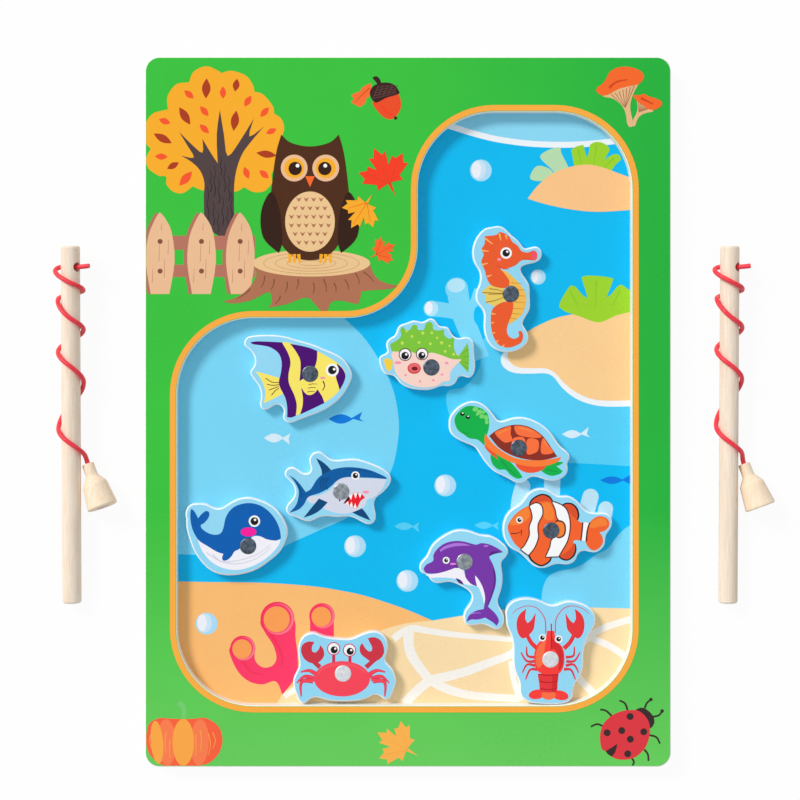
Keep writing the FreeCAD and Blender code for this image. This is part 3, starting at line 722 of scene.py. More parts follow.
def lay_cord(side):
    route = [rod_place(side, point) for point in THROUGH_HOLE + winding() + INTO_LURE]
    curve = bpy.data.curves.new(side + "_cord_line", "CURVE")
    curve.dimensions = "3D"
    curve.resolution_u = CORD_SMOOTHNESS
    curve.bevel_resolution = CORD_SMOOTHNESS
    spline = curve.splines.new("NURBS")
    spline.points.add(len(route) - 1)
    for place, point in zip(spline.points, route):
        place.co = (*point, 1.0)
    spline.order_u = 3
    spline.use_endpoint_u = True
    curve.bevel_depth = CORD_THICK / 2 * MM
    curve.use_fill_caps = True
    curve.materials.append(cord_braid)
    piece = new_piece(side + "_cord_braid", curve)
    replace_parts(piece, side + "_cord")


for side in ("left", "right"):
    dress(side + "_rod", dowel)
    dress(side + "_lure", lure_wood)
    dress(side + "_magnet", magnet)
    dress(side + "_knot", cord_braid)
    lay_cord(side)


# The print on the pond's floor

POND_LOW = (-98.5, -124.5)
POND_HIGH = (95.5, 127.5)
pond = Print("pond_print", FLOOR_TOP, keep=(POND_LOW, POND_HIGH))

LIGHT_WATER = [
    (-105, 34), (-85, 42), (-60, 45), (-34, 42.6), (-21, 33.8), (-12, 21.6), (-6.2, 9.2), (-3.8, -4),
    (-4.5, -15), (-7, -25), (-13, -36), (-24, -44), (-37, -50), (-46, -54), (-60, -60), (-75, -62),
    (-88, -60.5), (-105, -60),
]
SHORE_WATER = [
    (17, 8.5), (16.6, 2), (20, -6), (30, -14), (45, -19.5), (60, -21.3), (75, -22), (98, -23.3), (98, 10),
    (70, 14), (50, 22), (40, 26), (33, 31), (31, 27), (30, 18), (24, 10.5),
]
SHALLOWS = [
    (56, -84), (56.8, -75), (59, -70), (63, -67.5), (70, -66), (75, -63.6), (79, -60.5), (84, -58),
    (88, -53), (92, -49), (98, -46), (98, -85),
]
SURFACE = [(12, 122), (25, 118.2), (40, 114.4), (60, 112.6), (75, 112.9), (98, 115), (98, 130), (12, 130)]
pond.shape("water_light", LIGHT_WATER, {0, 17})
pond.shape("water_shore", SHORE_WATER, {7, 8})
pond.shape("water_light", SHALLOWS, {0, 10, 11})
pond.shape("surface", SURFACE, {0, 5, 6, 7})
pond.line("foam", [
    (11, 122.3), (19, 119.8), (27.7, 117.1), (37.4, 114.7), (50.3, 112.9), (63.2, 112.3), (76, 112.7),
    (94, 114.6),
], 2.5)

PALE_WEED = [
    [(60.6, 102), (55.8, 107), (59, 110), (63.9, 111.2), (64.8, 108.6), (68, 101), (63, 99)],
    [(60.6, 101.4), (56.4, 103.4), (53.4, 102.6), (51.5, 98.6), (53.4, 97.2), (57.4, 97), (62, 97)],
]
GREEN_WEED = [
    (70.6, 101), (69.8, 105), (68.8, 110.2), (71.1, 111.6), (74, 112.3), (74.9, 108.6), (75.6, 106.9),
    (76.3, 109.5), (76.8, 112.4), (79.2, 113.5), (82.6, 112.9), (85, 110.6), (83.8, 107.8), (83, 105.7),
    (84.6, 107.2), (87.2, 108.4), (89.2, 107.8), (89.9, 106), (87.6, 104), (85.6, 101), (78.6, 99),
]
ISLAND = [
    (50.5, 89.6), (54.5, 94.8), (60, 99.6), (67, 102.6), (75, 104), (82, 102.8), (88, 100.6), (99, 96.5),
    (99, 85.4), (88, 84.4), (78, 84.1), (68, 85.2), (58, 87.3),
]
for leaf in PALE_WEED:
    pond.shape("weed_pale", leaf)
pond.shape("weed", GREEN_WEED, {0, 2, 4, 6, 8, 13, 17, 19, 20})
pond.add(
    "weed_dark", stroke([(71.8, 110.2), (73, 104)], 0.5, 0.2), stroke([(79.5, 112), (78.4, 104)], 0.5, 0.2),
    stroke([(87, 106.8), (82.4, 102.6)], 0.5, 0.2)
)
pond.shape("island", ISLAND, {0, 7, 8})

pond.add(
    "reef_pale", stroke([(20.8, 52), (22.6, 42), (26.5, 32), (30.5, 22)], 9, 8),
    stroke([(10, 43.3), (17, 42.4), (24, 40.5)], 6.7, 5.4),
    stroke([(25.5, 37), (28.6, 44), (31, 51)], 6.4, 6), ellipse(20.6, 51.6, 4.8), ellipse(10, 43.3, 3.4)
)
pond.oval("water", 29.6, 40.4, 1.8, 3.9)
pond.add("reef_tip", ellipse(20.4, 53, 3.8, 2.9, 8), ellipse(9.9, 43.3, 3, 3.1))
pond.oval("bubble_shine", 8.9, 43.6, 1.6, 2.6)

BEACH_FOAM = [
    (99, 43.4), (80, 42.4), (70, 40.8), (62, 39), (55, 36), (50, 33), (44, 28), (40.5, 25), (39.2, 21.8),
    (40.6, 18.4), (45, 16.2), (52, 15.9), (58, 16), (61.5, 14.4), (65, 10), (70, 5.9), (76, 3.3), (84, 2),
    (99, 2.3),
]
BEACH = [
    (99, 43.6), (80, 42.6), (70, 41), (62, 39.2), (55, 36.2), (50, 33.2), (45, 28.6), (42.6, 25.5),
    (42, 23), (43.6, 20.2), (47, 18.5), (53, 18.2), (58.6, 18), (62.4, 15.8), (66, 11.8), (71, 8),
    (77, 5.4), (84, 4.5), (99, 4.8),
]
BEACH_WEED = [
    (63.7, 44), (64.5, 46.8), (67, 51), (68.8, 53), (70.9, 52.2), (73.5, 49.2), (75.7, 47.8), (74.7, 51.4),
    (73.1, 56.5), (75.5, 57.2), (79.5, 57.1), (83.5, 56.7), (86.7, 55.9), (85.5, 52.5), (83.7, 47.9),
    (85.9, 49.6), (88.1, 52.4), (90.1, 53.3), (92.5, 51.7), (99.5, 47), (99.5, 43), (88.5, 40.6),
    (80.5, 37.5), (72.5, 40), (66.5, 42),
]
pond.shape("foam", BEACH_FOAM, {0, 18})
pond.shape("beach", BEACH, {0, 18})
pond.shape("weed", BEACH_WEED, {0, 6, 8, 12, 14, 19, 20})
pond.add(
    "weed_dark", stroke([(68.4, 50.6), (72, 44)], 0.5, 0.2), stroke([(79.4, 55), (79.2, 44)], 0.5, 0.2),
    stroke([(89.4, 50.8), (86, 44.4)], 0.5, 0.2)
)

FINGERS = [
    ("reef_dim", [(48.4, -31.6), (46.8, -38), (46.2, -46)], 6.4),
    ("reef_dim", [(61, -26.5), (60.6, -36)], 6.8), ("finger", [(77, -36), (75.2, -42.5)], 6.8),
    ("finger", [(83.4, -41), (82.2, -48)], 6.2),
]
for colour, line, width in FINGERS:
    pond.line(colour, line, width)
    pond.oval(colour, line[0][0], line[0][1], width / 2)

# Each row: colour, body centre, half length, half width, tail root, upper and lower tail tip
SHOAL = [
    ("shoal_white", (-56.4, -11.2), 4.2, 1.9, (-53, -11.4), (-49.4, -9.2), (-49.7, -14)),
    ("shoal_blue", (-28.2, -3.2), 5.2, 2, (-24, -3), (-19.2, -0.2), (-18.5, -4.3)),
    ("shoal_pale", (-1.6, -48.4), 4, 1.6, (1.8, -48.6), (4.9, -46.7), (4.8, -50.9)),
    ("shoal_white", (69.2, -9.6), 4.2, 1.7, (72.6, -9.5), (76.2, -6.6), (76.9, -11)),
    ("shoal_blue", (86, -29), 5, 1.6, (90, -28.9), (94.5, -26.3), (94.5, -31)),
    ("shoal_pale", (32, -48), 4, 1.5, (35.4, -48.2), (38.4, -46.4), (38.4, -50)),
]
for colour, middle, half, width, root, high, low in SHOAL:
    pond.add(colour, lens(middle[0], middle[1], half, width))
    pond.add(colour, [root, high, (root[0] + 0.78 * (high[0] - root[0]), root[1] - 0.1), low])

SAND = [
    (-105, -71.4), (-85, -71.9), (-70, -72), (-55, -72.5), (-40, -73.7), (-30, -75.2), (-20, -77.2),
    (-10, -80.2), (0, -83.7), (10.2, -88.1), (20, -96), (0, -128), (-105, -128),
]
PALE_SAND = [
    (9.8, -88.2), (22, -86.2), (32, -84.6), (44, -83.2), (56, -82.7), (70, -82.5), (99, -83.2), (99, -128),
    (-58, -128), (-52.5, -118.4), (-45, -113), (-38, -107), (-28, -100), (-18, -95), (-9, -91.5),
    (0, -89.2),
]
pond.shape("sand", SAND, {0, 9, 10, 11, 12})
pond.shape("sand_pale", PALE_SAND, {0, 6, 7, 8, 9})
FOAM_LINES = [
    ([
        (-6, -95.8), (-1.8, -92.8), (2, -91.4), (7.1, -92.2), (14.7, -93.4), (23.2, -94.4), (44, -96.1),
    ], 3.2, 2.2),
    ([(0.5, -91.6), (0.4, -98.3), (2, -103.4), (5.1, -108), (9.1, -113.1)], 4.4, 3.8),
    ([(46.4, -97), (44, -101.9), (34, -106), (23, -110), (9.1, -113.4)], 2.8, 4.2),
    ([(10, -112.6), (4.6, -117.1), (-1.5, -123)], 4.2, 4),
    ([(9.4, -112.8), (15.3, -116.4), (26.9, -119.6), (47, -121)], 4.2, 3),
    ([(43.5, -105.1), (44.6, -113.1), (47.5, -122.1)], 2.4, 2.4),
    ([(-52, -120.1), (-46, -116.5), (-40, -114.6)], 2.2, 2.2),
    ([(72, -99.1), (80, -92.5), (90, -88.7), (99, -86.5)], 2.8, 2.8),
    ([(76, -95.1), (84, -98.3), (91, -102.7), (99, -108.1)], 2.8, 2.8),
    ([(71, -111.1), (77, -117.5), (84, -123.1)], 3, 3),
]
for line, width, end_width in FOAM_LINES:
    pond.line("foam_warm", line, width, end_width)

TUBES = [
    (-74.2, -98.5), (-73.6, -103), (-70.5, -109), (-66, -112.8), (-60.5, -114), (-56, -112.6),
    (-53.8, -114), (-52.2, -118.4), (-49.4, -115), (-46, -110), (-45.6, -103), (-46.6, -94), (-47.2, -86.5),
    (-54, -80), (-61.2, -86.8), (-59.5, -92), (-56, -97.5), (-54.6, -103), (-56.5, -106.2), (-60.5, -106.8),
    (-63.6, -103.8), (-64.2, -99), (-68.6, -93.6),
]
pond.add("tube", smooth([(x - 0.7, y - 1) for x, y in TUBES], {7}), stroke([(-36.2, -86), (-36, -104)], 10))
pond.add(
    "tube_dark", stroke([(-70.4, -104), (-66, -109.6), (-60.5, -111)], 1.2, 0.4),
    stroke([(-57.6, -94), (-53.2, -102), (-53, -108)], 1.4, 0.4)
)
MOUTHS = [((-54.9, -87.3), 7.1), ((-69.5, -99.8), 5.3), ((-36.1, -86.2), 5.4)]
for (x, y), radius in MOUTHS:
    pond.oval("tube_dark", x, y, radius)
    pond.oval("tube_rim", x + 0.35, y - 0.2, radius * 0.93)
    pond.oval("tube", x - 0.25, y + 0.1, radius * 0.86)
    pond.oval("tube_mouth", x - 0.3, y - 0.3, radius * 0.77)

BUBBLES = [
    (30.8, 101.5, 4.6), (54.9, 56.6, 3.2), (15.8, -31.2, 4.6), (-22.2, -56.8, 4.6), (-0.2, -71.4, 4.6),
    (-84.7, -89.4, 4.6),
]
# Each tone's place and size as shares of the bubble's radius
BUBBLE_TONES = [
    ("bubble_rim", 0, 0, 1, 1), ("bubble", 0, 0, 0.94, 0.94), ("bubble_soft", 0.20, 0.06, 0.66, 0.88),
    ("bubble_shine", 0.42, 0.08, 0.44, 0.76),
]
for x, y, radius in BUBBLES:
    for tone, left, up, across, high in BUBBLE_TONES:
        pond.oval(tone, x - left * radius, y + up * radius, radius * across, radius * high)
pond.make()


# The print on the frame's face

LINE_OUTSIDE = 2.9
HALF_WIDTH = BOARD_WIDTH / 2 - FRAME_EDGE
HALF_LENGTH = BOARD_LENGTH / 2 - FRAME_EDGE
garden = Print("frame_print", FRAME_TOP, keep=((-HALF_WIDTH, -HALF_LENGTH), (HALF_WIDTH, HALF_LENGTH)))


# An autumn tree: a lobed crown, two sizes of leaf and a forked trunk
CROWN = [
    (-85, 92.5), (-90, 94.4), (-94, 91.6), (-98, 92), (-101, 95), (-101.2, 98.4), (-104, 98.6),
    (-108.4, 101.6), (-109.6, 106), (-107.6, 110), (-110.6, 114), (-110, 120), (-107, 124.6), (-102, 126.2),
    (-100.4, 126.4), (-100.6, 132), (-97, 137), (-92.2, 137.8), (-91.6, 138), (-89.6, 142.4),
    (-84.4, 144.6), (-79.6, 142.8), (-78, 141.7), (-74, 142.7), (-68, 140.8), (-65, 137), (-64.2, 133.9),
    (-60.6, 132.8), (-56.6, 128), (-56, 124.8), (-53, 122.6), (-51.8, 118.6), (-53, 113.6), (-51.6, 109.6),
    (-54, 104), (-57, 99.8), (-56.6, 96), (-60, 92.4), (-64.6, 92), (-68.6, 94), (-73, 92),
]
CROWN_NOTCHES = {1, 6, 9, 14, 18, 22, 26, 29, 33, 36, 39}
BROWN_LEAVES = [
    (-84.4, 135.3, 4.2, 1.8, 88), (-71.9, 136.7, 2.7, 1.4, 80), (-93.4, 123.8, 4.3, 1.7, 122),
    (-72.4, 121.8, 4.3, 1.7, 82), (-102.6, 114.4, 4.3, 1.6, 152), (-59.2, 107.8, 4.3, 1.5, 172),
    (-98.3, 103, 2.8, 1.3, 28),
]
RED_LEAVES = [
    (-91.6, 132.8, 2.6, 1.3, 140), (-77.4, 133.6, 2.6, 1.3, 92), (-85.2, 125.8, 2.7, 1.3, 130),
    (-67, 130, 2.7, 1.3, 58), (-60, 125.4, 2.7, 1.3, 48), (-101.8, 121.6, 2.6, 1.3, 160),
    (-57.2, 117.4, 2.4, 1.2, 24), (-85.2, 118.4, 2.7, 1.3, 136), (-103.2, 106.8, 2.7, 1.3, 178),
    (-67.6, 100, 2.7, 1.3, 110), (-60.2, 99.4, 2.6, 1.3, 140), (-93, 97.6, 4, 1.7, 48),
]
TRUNK = [
    (-85.2, 78), (-85.4, 90), (-85.2, 96), (-87, 101), (-90.6, 104.6), (-95, 107.2), (-89.6, 106.4),
    (-92.4, 111.6), (-95.8, 117.2), (-90.6, 112), (-86, 108.4), (-86, 114.2), (-82.4, 108.2), (-79.6, 104),
    (-80, 116), (-78.7, 126.3), (-77, 116), (-75.4, 107), (-70, 113.8), (-64.5, 122.8), (-66.4, 115.2),
    (-60.2, 119.4), (-66.2, 112.4), (-70, 106.6), (-72.4, 98), (-72.8, 88), (-72.6, 74), (-78, 73),
]
garden.shape("autumn", CROWN, CROWN_NOTCHES)
for x, y, along, across, turn in BROWN_LEAVES:
    garden.add("rust", lens(x, y, along, across, turn))
for x, y, along, across, turn in RED_LEAVES:
    garden.add("coral_leaf", lens(x, y, along, across, turn))
garden.shape("trunk", TRUNK, {0, 5, 8, 11, 13, 15, 19, 21, 26}, steps=3)
BARK = [
    (-83.8, 80, 94), (-82.6, 92, 101), (-81.4, 78, 88), (-81, 90, 103), (-79.6, 75, 84), (-79.2, 87, 98),
    (-78.4, 99, 107), (-77.6, 78, 90), (-76.8, 92, 104), (-75.6, 76, 86), (-75, 88, 99), (-74, 80, 92),
]
for x, low, high in BARK:
    middle = (low + high) / 2
    garden.line("trunk_dark", [
        (x, low), (x + 0.5, (low + middle) / 2), (x - 0.2, middle), (x + 0.4, (middle + high) / 2),
        (x - 0.1, high),
    ], 0.45, 0.25, steps=3)

# A picket fence in front of it: two rails and three pickets, each with two nails
PICKETS = (-103.8, -86.5, -70.3)
for low, high in ((56.4, 61.6), (67.8, 73.7)):
    garden.add("picket_side", [(-111, low), (-64, low), (-64, high), (-111, high)])
for x in PICKETS:
    sides = [
        (x - 3.8, 49.3), (x - 5.8, 62), (x - 5, 73), (x - 1.8, 81), (x, 83.5), (x + 2.2, 81), (x + 5, 75),
        (x + 6.2, 63), (x + 4, 49.3),
    ]
    shadow = [(px - 1.5, py) for px, py in sides]
    garden.shape("picket_side", shadow, {0, 4, 8}, steps=3)
    garden.shape("picket", sides, {0, 4, 8}, steps=3)
    for away, low, high in ((-3.2, 54, 60), (-0.4, 63, 70), (1.8, 56, 64), (3.4, 66, 72), (0.6, 76, 79)):
        garden.line("picket_side", [(x + away, low), (x + away + 0.25, high)], 0.22, 0.12)
    for nail in (58.9, 71.3):
        garden.oval("stump_dark", x + 0.1, nail, 1.05)

# A tree stump with spreading roots, and a round brown bird that rests on it
STUMP = [
    (-65, 62), (-63.4, 57), (-67, 51.4), (-72, 47.8), (-77.6, 46.2), (-73, 45.4), (-66, 46.6), (-60, 49.6),
    (-57.6, 49.8), (-57, 46), (-58.4, 43.6), (-51, 45), (-44, 47.6), (-41, 47.4), (-38.4, 44.4), (-36, 42),
    (-33.8, 42.4), (-32, 46), (-28, 46.6), (-21, 45), (-20, 47.6), (-19.6, 50.4), (-14, 51), (-7.6, 51.4),
    (-3.4, 52.8), (-9, 53.8), (-13.6, 56.6), (-16, 62),
]
STUMP_MIDDLE = (-40.4, 62.2)
STUMP_ACROSS = 24.6
STUMP_DEEP = 5.6
garden.shape("stump", STUMP, {0, 4, 7, 10, 13, 18, 19, 21, 24, 27}, steps=4)
garden.oval("stump_top", *STUMP_MIDDLE, STUMP_ACROSS, STUMP_DEEP)
for reach in (0.82, 0.62, 0.42, 0.22):
    across = STUMP_ACROSS * reach
    deep = STUMP_DEEP * reach
    garden.ring(
        "stump_ring", ellipse(*STUMP_MIDDLE, across, deep),
        ellipse(*STUMP_MIDDLE, across - 0.35, deep - 0.3)
    )
ROOT_BARK = [
    (-60, 57, -61.5, 52), (-56, 55.6, -57.4, 51), (-50.6, 54.4, -51.4, 50), (-46, 55.6, -46.8, 51.4),
    (-39.6, 54, -39.8, 49.4), (-35.4, 55.6, -34.2, 50), (-31, 54, -30.2, 50), (-26.4, 55.4, -24.8, 51),
    (-22, 58, -20.4, 53.4), (-18.6, 58.6, -14.4, 54.4), (-66, 51.4, -71.4, 47.4),
    (-53.4, 48.4, -55.6, 45.2),
]
for x, y, to_x, to_y in ROOT_BARK:
    garden.line("stump_dark", [
        (x, y), ((x + to_x) / 2 + 0.5, (y + to_y) / 2), (to_x, to_y),
    ], 0.6, 0.3, steps=3)

BIRD_X = -41
BIRD_SIDE = [
    (-41, 111), (-49, 112.6), (-53, 116), (-55, 109), (-56.6, 98), (-57.4, 86), (-55, 74), (-49, 65.6),
    (-41, 63.4),
]
WING = [(16.2, 92), (20.4, 84), (19.6, 73), (13, 66.4), (11.6, 72), (12.6, 84)]
garden.shape("bird_brown", mirrored(BIRD_SIDE, BIRD_X), {2, 14})
for side in (-1, 1):
    garden.shape("brown_dark", [(BIRD_X + side * x, y) for x, y in WING], {3})
garden.oval("stump_top", BIRD_X, 79.6, 10.4, 12.6)
for row, (y, count) in enumerate(((89, 4), (85.4, 5), (81.8, 6), (78.2, 6), (74.6, 5), (71, 4))):
    for step in range(count):
        x = BIRD_X + (step - (count - 1) / 2) * 3.1
        garden.shape("stump", [
            (x - 1.1, y + 0.8), (x, y - 1.1), (x + 1.1, y + 0.8), (x, y + 0.2),
        ], {0, 2}, steps=3)
for side in (-1, 1):
    x = BIRD_X + side * 6.6
    garden.oval("picket", x, 102, 5.6)
    garden.oval("autumn", x, 102, 4.2)
    garden.oval("brown_dark", x - 0.4 * side, 101.8, 2.8)
    garden.oval("white", x - 0.8 * side + 0.6, 103, 0.8, steps=16)
    for toe in (-1.8, 0, 1.8):
        garden.line("autumn", [(x + toe, 66), (x + toe * 1.2 - 0.2 * side, 62.4)], 1.5, 0.9)
garden.shape("mushroom", [(-43, 98.6), (-39, 98.6), (-41, 94)], {0, 1, 2})

# Fallen maple leaves, an acorn with its leaf, mushrooms, a pumpkin and a ladybird
MAPLE = mirrored([
    (0, -9), (0.7, -3.6), (5.2, -4.4), (4.6, -2.4), (9.4, 0.4), (7.8, 1.4), (9, 4.6), (5.8, 4), (5, 5.4),
    (2.4, 2.8), (3.4, 8), (1.8, 7.2), (0, 10.6),
])
for colour, vein, x, y, turn, size in (
    ("maple_red", "mushroom_dark", -9.4, 99.4, 24, 1.12), ("autumn", "mushroom", -19, 84.6, 148, 0.86),
    ("maple_orange", "pumpkin_light", -3.6, -139.4, 60, 1),
    ("mushroom", "mushroom_dark", -11.2, 67, -62, 0.62),
):
    garden.add(colour, moved(MAPLE, x, y, turn, size))
    for tip in ((0, 8.4), (6.6, 3.4), (-6.6, 3.4)):
        garden.line(vein, moved([(0, -4), tip], x, y, turn, size), 0.4 * size, 0.15)

ACORN_NUT = [
    (-14.8, 129.6), (-12.6, 125.6), (-9.4, 122.8), (-6.4, 122.6), (-3.6, 125.6), (-2.9, 129.4),
    (-4.6, 133.4), (-10, 131.8),
]
garden.shape("oak_leaf", [
    (-15.4, 137.2), (-19, 135.8), (-20.2, 134), (-21.6, 133.6), (-23.6, 132.4), (-22.6, 130.8),
    (-23.8, 129.6), (-21.6, 128.2), (-20, 127.6), (-17.8, 129.4), (-17.4, 131), (-16, 132.4),
])
garden.line("mushroom_dark", [(-16, 135.6), (-19.4, 132.4), (-22, 129.6)], 0.5, 0.2)
garden.shape("acorn_nut", ACORN_NUT)
garden.line("maple_red", [(-11, 128.4), (-8.4, 125), (-6, 124.2)], 1, 0.4)
garden.add(
    "acorn_cap",
    smooth([
        (-16, 133), (-14.4, 136.4), (-10, 137.8), (-6, 137), (-3.9, 134.4), (-4, 133), (-9, 131.4),
        (-13.6, 129.4),
    ]),
    smooth([(-12.6, 137), (-13.8, 138.4), (-14.8, 139.8), (-13.2, 140.4), (-11.8, 139.2), (-11.2, 137.2)]),
    ellipse(-5.2, 122.9, 0.7)
)
for step in range(5):
    garden.add(
        "acorn_mesh",
        stroke([(-14.6 + 2.1 * step, 131.4 + 0.5 * step), (-12.4 + 2 * step, 136.4 + 0.1 * step)], 0.25),
        stroke([(-15 + 0.6 * step, 131 + 1.2 * step), (-4.8 - 0.3 * step, 133.4 + 0.8 * step)], 0.25)
    )


GILLS = (0.08, 0.22, 0.36, 0.5, 0.64, 0.78, 0.92)


def mushroom(cap, body, root, shine, fold):
    """A funnel mushroom: the pale body, its gill lines fanned from the root, and the cap."""
    garden.shape("mushroom_stem", body, {0})
    edge_from, edge_to = fold
    for share in GILLS:
        at = tuple(p + (q - p) * share for p, q in zip(edge_from, edge_to))
        garden.line("mushroom_gill", [at, tuple((p + q) / 2 for p, q in zip(at, root)), root], 0.4, 0.15)
    garden.shape("mushroom", cap)
    garden.line("mushroom_dark", shine, 1.2, 0.5)


mushroom(
    [
        (78.9, 133.9), (79.2, 135.8), (81.2, 137.1), (82.8, 139.3), (84.4, 142.2), (87.3, 143.9),
        (91.1, 144.4), (94.6, 143.8), (97.5, 142.4), (98.7, 140.4), (98.1, 138.8), (96.3, 137.1),
        (92.7, 136.3), (88.8, 135.4), (86.3, 134.2), (83.7, 132.8), (81.2, 132.4),
    ],
    [
        (96.7, 137.6), (94.6, 133.9), (93.2, 130), (93, 126.5), (93.8, 122.6), (94.3, 120), (92.6, 119.2),
        (91.6, 121), (91.3, 123.6), (90.4, 126.6), (88.7, 128.9), (85.6, 131.1), (81.6, 132), (83, 133.6),
        (88, 136), (93, 137.6),
    ],
    (90.9, 127.2), [(84.2, 135.6), (87.2, 138), (91.8, 139)], ((84, 132.6), (95.6, 136.8))
)
mushroom(
    [
        (94.1, 132.3), (96.9, 132.5), (98.5, 133), (100.7, 132), (103.3, 131.2), (105.6, 130.2),
        (106.3, 128.8), (105, 127.2), (102.6, 126.4), (100.1, 126.9), (98.3, 128.4), (96, 129.8),
    ],
    [
        (95.7, 130.2), (96, 126.8), (95.2, 124.2), (94.2, 122.2), (93.6, 119.8), (94.9, 119.7),
        (95.9, 122.2), (97.2, 123.9), (99.4, 125), (102.6, 125.8), (101, 127.6), (98.4, 129.4),
    ],
    (96.5, 125.4), [(97.4, 131.2), (100, 130), (102.6, 128.7)], ((96, 129.6), (101.6, 126.9))
)

garden.line("pumpkin_stem", [(-93.8, -128.2), (-93.7, -124.8), (-94.6, -122.6), (-96.2, -121.9)], 1.8, 2.2)
garden.shape("pumpkin_side", [
    (-109.3, -134), (-107.9, -130), (-103.8, -128.1), (-99, -128.3), (-94.2, -128.5), (-89, -128.3),
    (-84.6, -128.1), (-79.4, -131.4), (-77.6, -137), (-79, -142.6), (-83, -146.7), (-88.6, -148.1),
    (-95, -148.2), (-102, -148), (-107, -144.6), (-109.3, -140),
])
for colour, x, across, up, turn in (
    ("pumpkin", -100.9, 3.9, 9.7, 2), ("pumpkin", -87.2, 3.9, 9.7, -2), ("pumpkin_light", -105, 2.6, 9, 5),
    ("pumpkin_light", -94, 4.5, 9.8, 0)
):
    garden.oval(colour, x, -138.2, across, up, turn)
for x, bend, low, high in (
    (-101.6, 0.4, -143, -134), (-99.8, 0.3, -145, -137), (-88.6, -0.3, -144, -135),
    (-86.4, -0.5, -142, -133), (-82.6, -0.9, -143.4, -134.6), (-80.6, -1.1, -141, -134),
    (-108.2, 1, -141, -134)
):
    garden.line("pumpkin_light", [(x + bend, high), (x, (low + high) / 2), (x + bend, low)], 0.4, 0.2)

BUG_BODY = [
    (80.9, -140.6), (80.3, -135.7), (81.5, -130.9), (84.7, -127.4), (88.6, -125.4), (92.7, -124.7),
    (96.2, -125), (99.1, -127.1), (100.9, -130.3), (101.2, -134.3), (99.8, -139.4), (97.2, -142.8),
    (93.7, -145), (89.2, -145.5), (85.6, -144.5), (82.5, -142),
]
BUG_HEAD = [
    (94.9, -124.8), (97.6, -123.7), (100.4, -124.9), (102.6, -127.4), (103, -130.2), (101.6, -132.4),
    (99, -130), (96, -126.6),
]
BUG_LEGS = [
    [(91.9, -125), (90.8, -122), (88.4, -120.7)], [(85.2, -127.2), (82.8, -125), (80.4, -124.5)],
    [(81.8, -131.6), (79.1, -130.6), (76.5, -131.7)], [(101, -135.2), (103.9, -136.1), (105.4, -138.8)],
    [(98.8, -141.2), (100.3, -143.2), (100.6, -146)], [(93.6, -144.8), (94.5, -146.4), (93.9, -147.9)],
    [(99, -124), (99.9, -121.8), (101.4, -120.5)], [(102.6, -127.5), (104.9, -126.9), (106.2, -125.4)],
]
for leg in BUG_LEGS:
    garden.line("bug_black", leg, 0.85, 0.75)
garden.add(
    "bug_black", smooth(BUG_HEAD, {0, 5}), ellipse(101.6, -120.3, 0.75, steps=20),
    ellipse(106.3, -125.1, 0.75, steps=20)
)
garden.shape("bug_red", BUG_BODY)
garden.shape("bug_black", [
    (87.6, -138.8), (86.8, -142), (85.3, -144.2), (83.6, -143.2), (82.7, -141.9), (84.8, -140.6),
], {0, 2, 4})
for x, y in ((92.9, -127.4), (83.3, -134.2), (89.4, -133.3), (93, -136.9), (98.6, -133.8), (91.9, -143)):
    garden.oval("bug_black", x, y, 1.45, steps=28)
garden.ring("orange_line", pond_edge(LINE_OUTSIDE), pond_edge(FRAME_EDGE))
garden.make()


# The prints on the creatures, in millimetres from the middle of each disc

def creature_print(name):
    return Print(name + "_print", CREATURE_TOP, middle=DISC_AT[name])


EYE_RIM = 0.4
EYE_GLINT = 0.32


def eye(sheet, x, y, white, black, glint=(0.3, 0.35), rim=None, look=(0, 0)):
    """A round eye: a rim, the white, the pupil and a glint."""
    if rim:
        sheet.oval(rim, x, y, white + EYE_RIM)
    sheet.oval("white", x, y, white)
    sheet.oval("black", x + look[0], y + look[1], black)
    sheet.oval(
        "white", x + look[0] + glint[0] * black, y + look[1] + glint[1] * black, black * EYE_GLINT,
        steps=16
    )


# Seahorse
art = creature_print("seahorse")
FIN = [
    (-2.6, 2.4), (-6, 3.2), (-9, 3.6), (-12.2, 0.8), (-10.6, -1), (-10.8, -3.4), (-7, -5.2), (-5, -5.6),
    (-2, -3),
]
art.shape("horse_fin", FIN, {0, 3, 5, 8})
for tip in ((-12, 0.5), (-9.4, -0.1), (-10.6, -3.6), (-9, 2.2)):
    art.line("horse_ray", [tip, (tip[0] * 0.6, tip[1] * 0.75), (-3, tip[1] * 0.4)], 0.35, 0.25, steps=3)
BELLY = [
    (-6, 10.6), (-2, 9.4), (2, 6), (5, 2.4), (6.4, -1), (6.2, -5), (4.6, -8.6), (2, -11), (-1, -13),
    (0, -4), (-1, 4),
]
art.shape("horse_belly", BELLY, {0, 8})
for x, y, to_x in (
    (1.6, 4.4, 4.6), (2.4, 1.8, 6), (3, -0.8, 6.4), (2.6, -3.6, 6.2), (2, -6.2, 5.6), (1.4, -8.4, 4.6),
    (0.6, -10.4, 2.8)
):
    art.line("horse_rib", [(x - 1.4, y + 0.3), (x + 1, y), (to_x, y - 0.1)], 0.45, 0.2, steps=3)
LOWER_BACK = [
    (-3.2, -3.4), (0.6, -3.4), (0.9, -6), (0.2, -9), (-1.2, -12.6), (-1.7, -15.6), (-0.8, -17.8),
    (1.4, -18.8), (3.3, -17.8), (3.3, -16.5), (3, -15.9), (4.4, -15.6), (5.1, -17.6), (4.4, -20.2),
    (2.2, -21.6), (-1.4, -22.5), (-5.2, -21.2), (-7.6, -17), (-8.4, -12), (-8, -7), (-6, -4.8),
]
art.shape("horse", LOWER_BACK, {0})
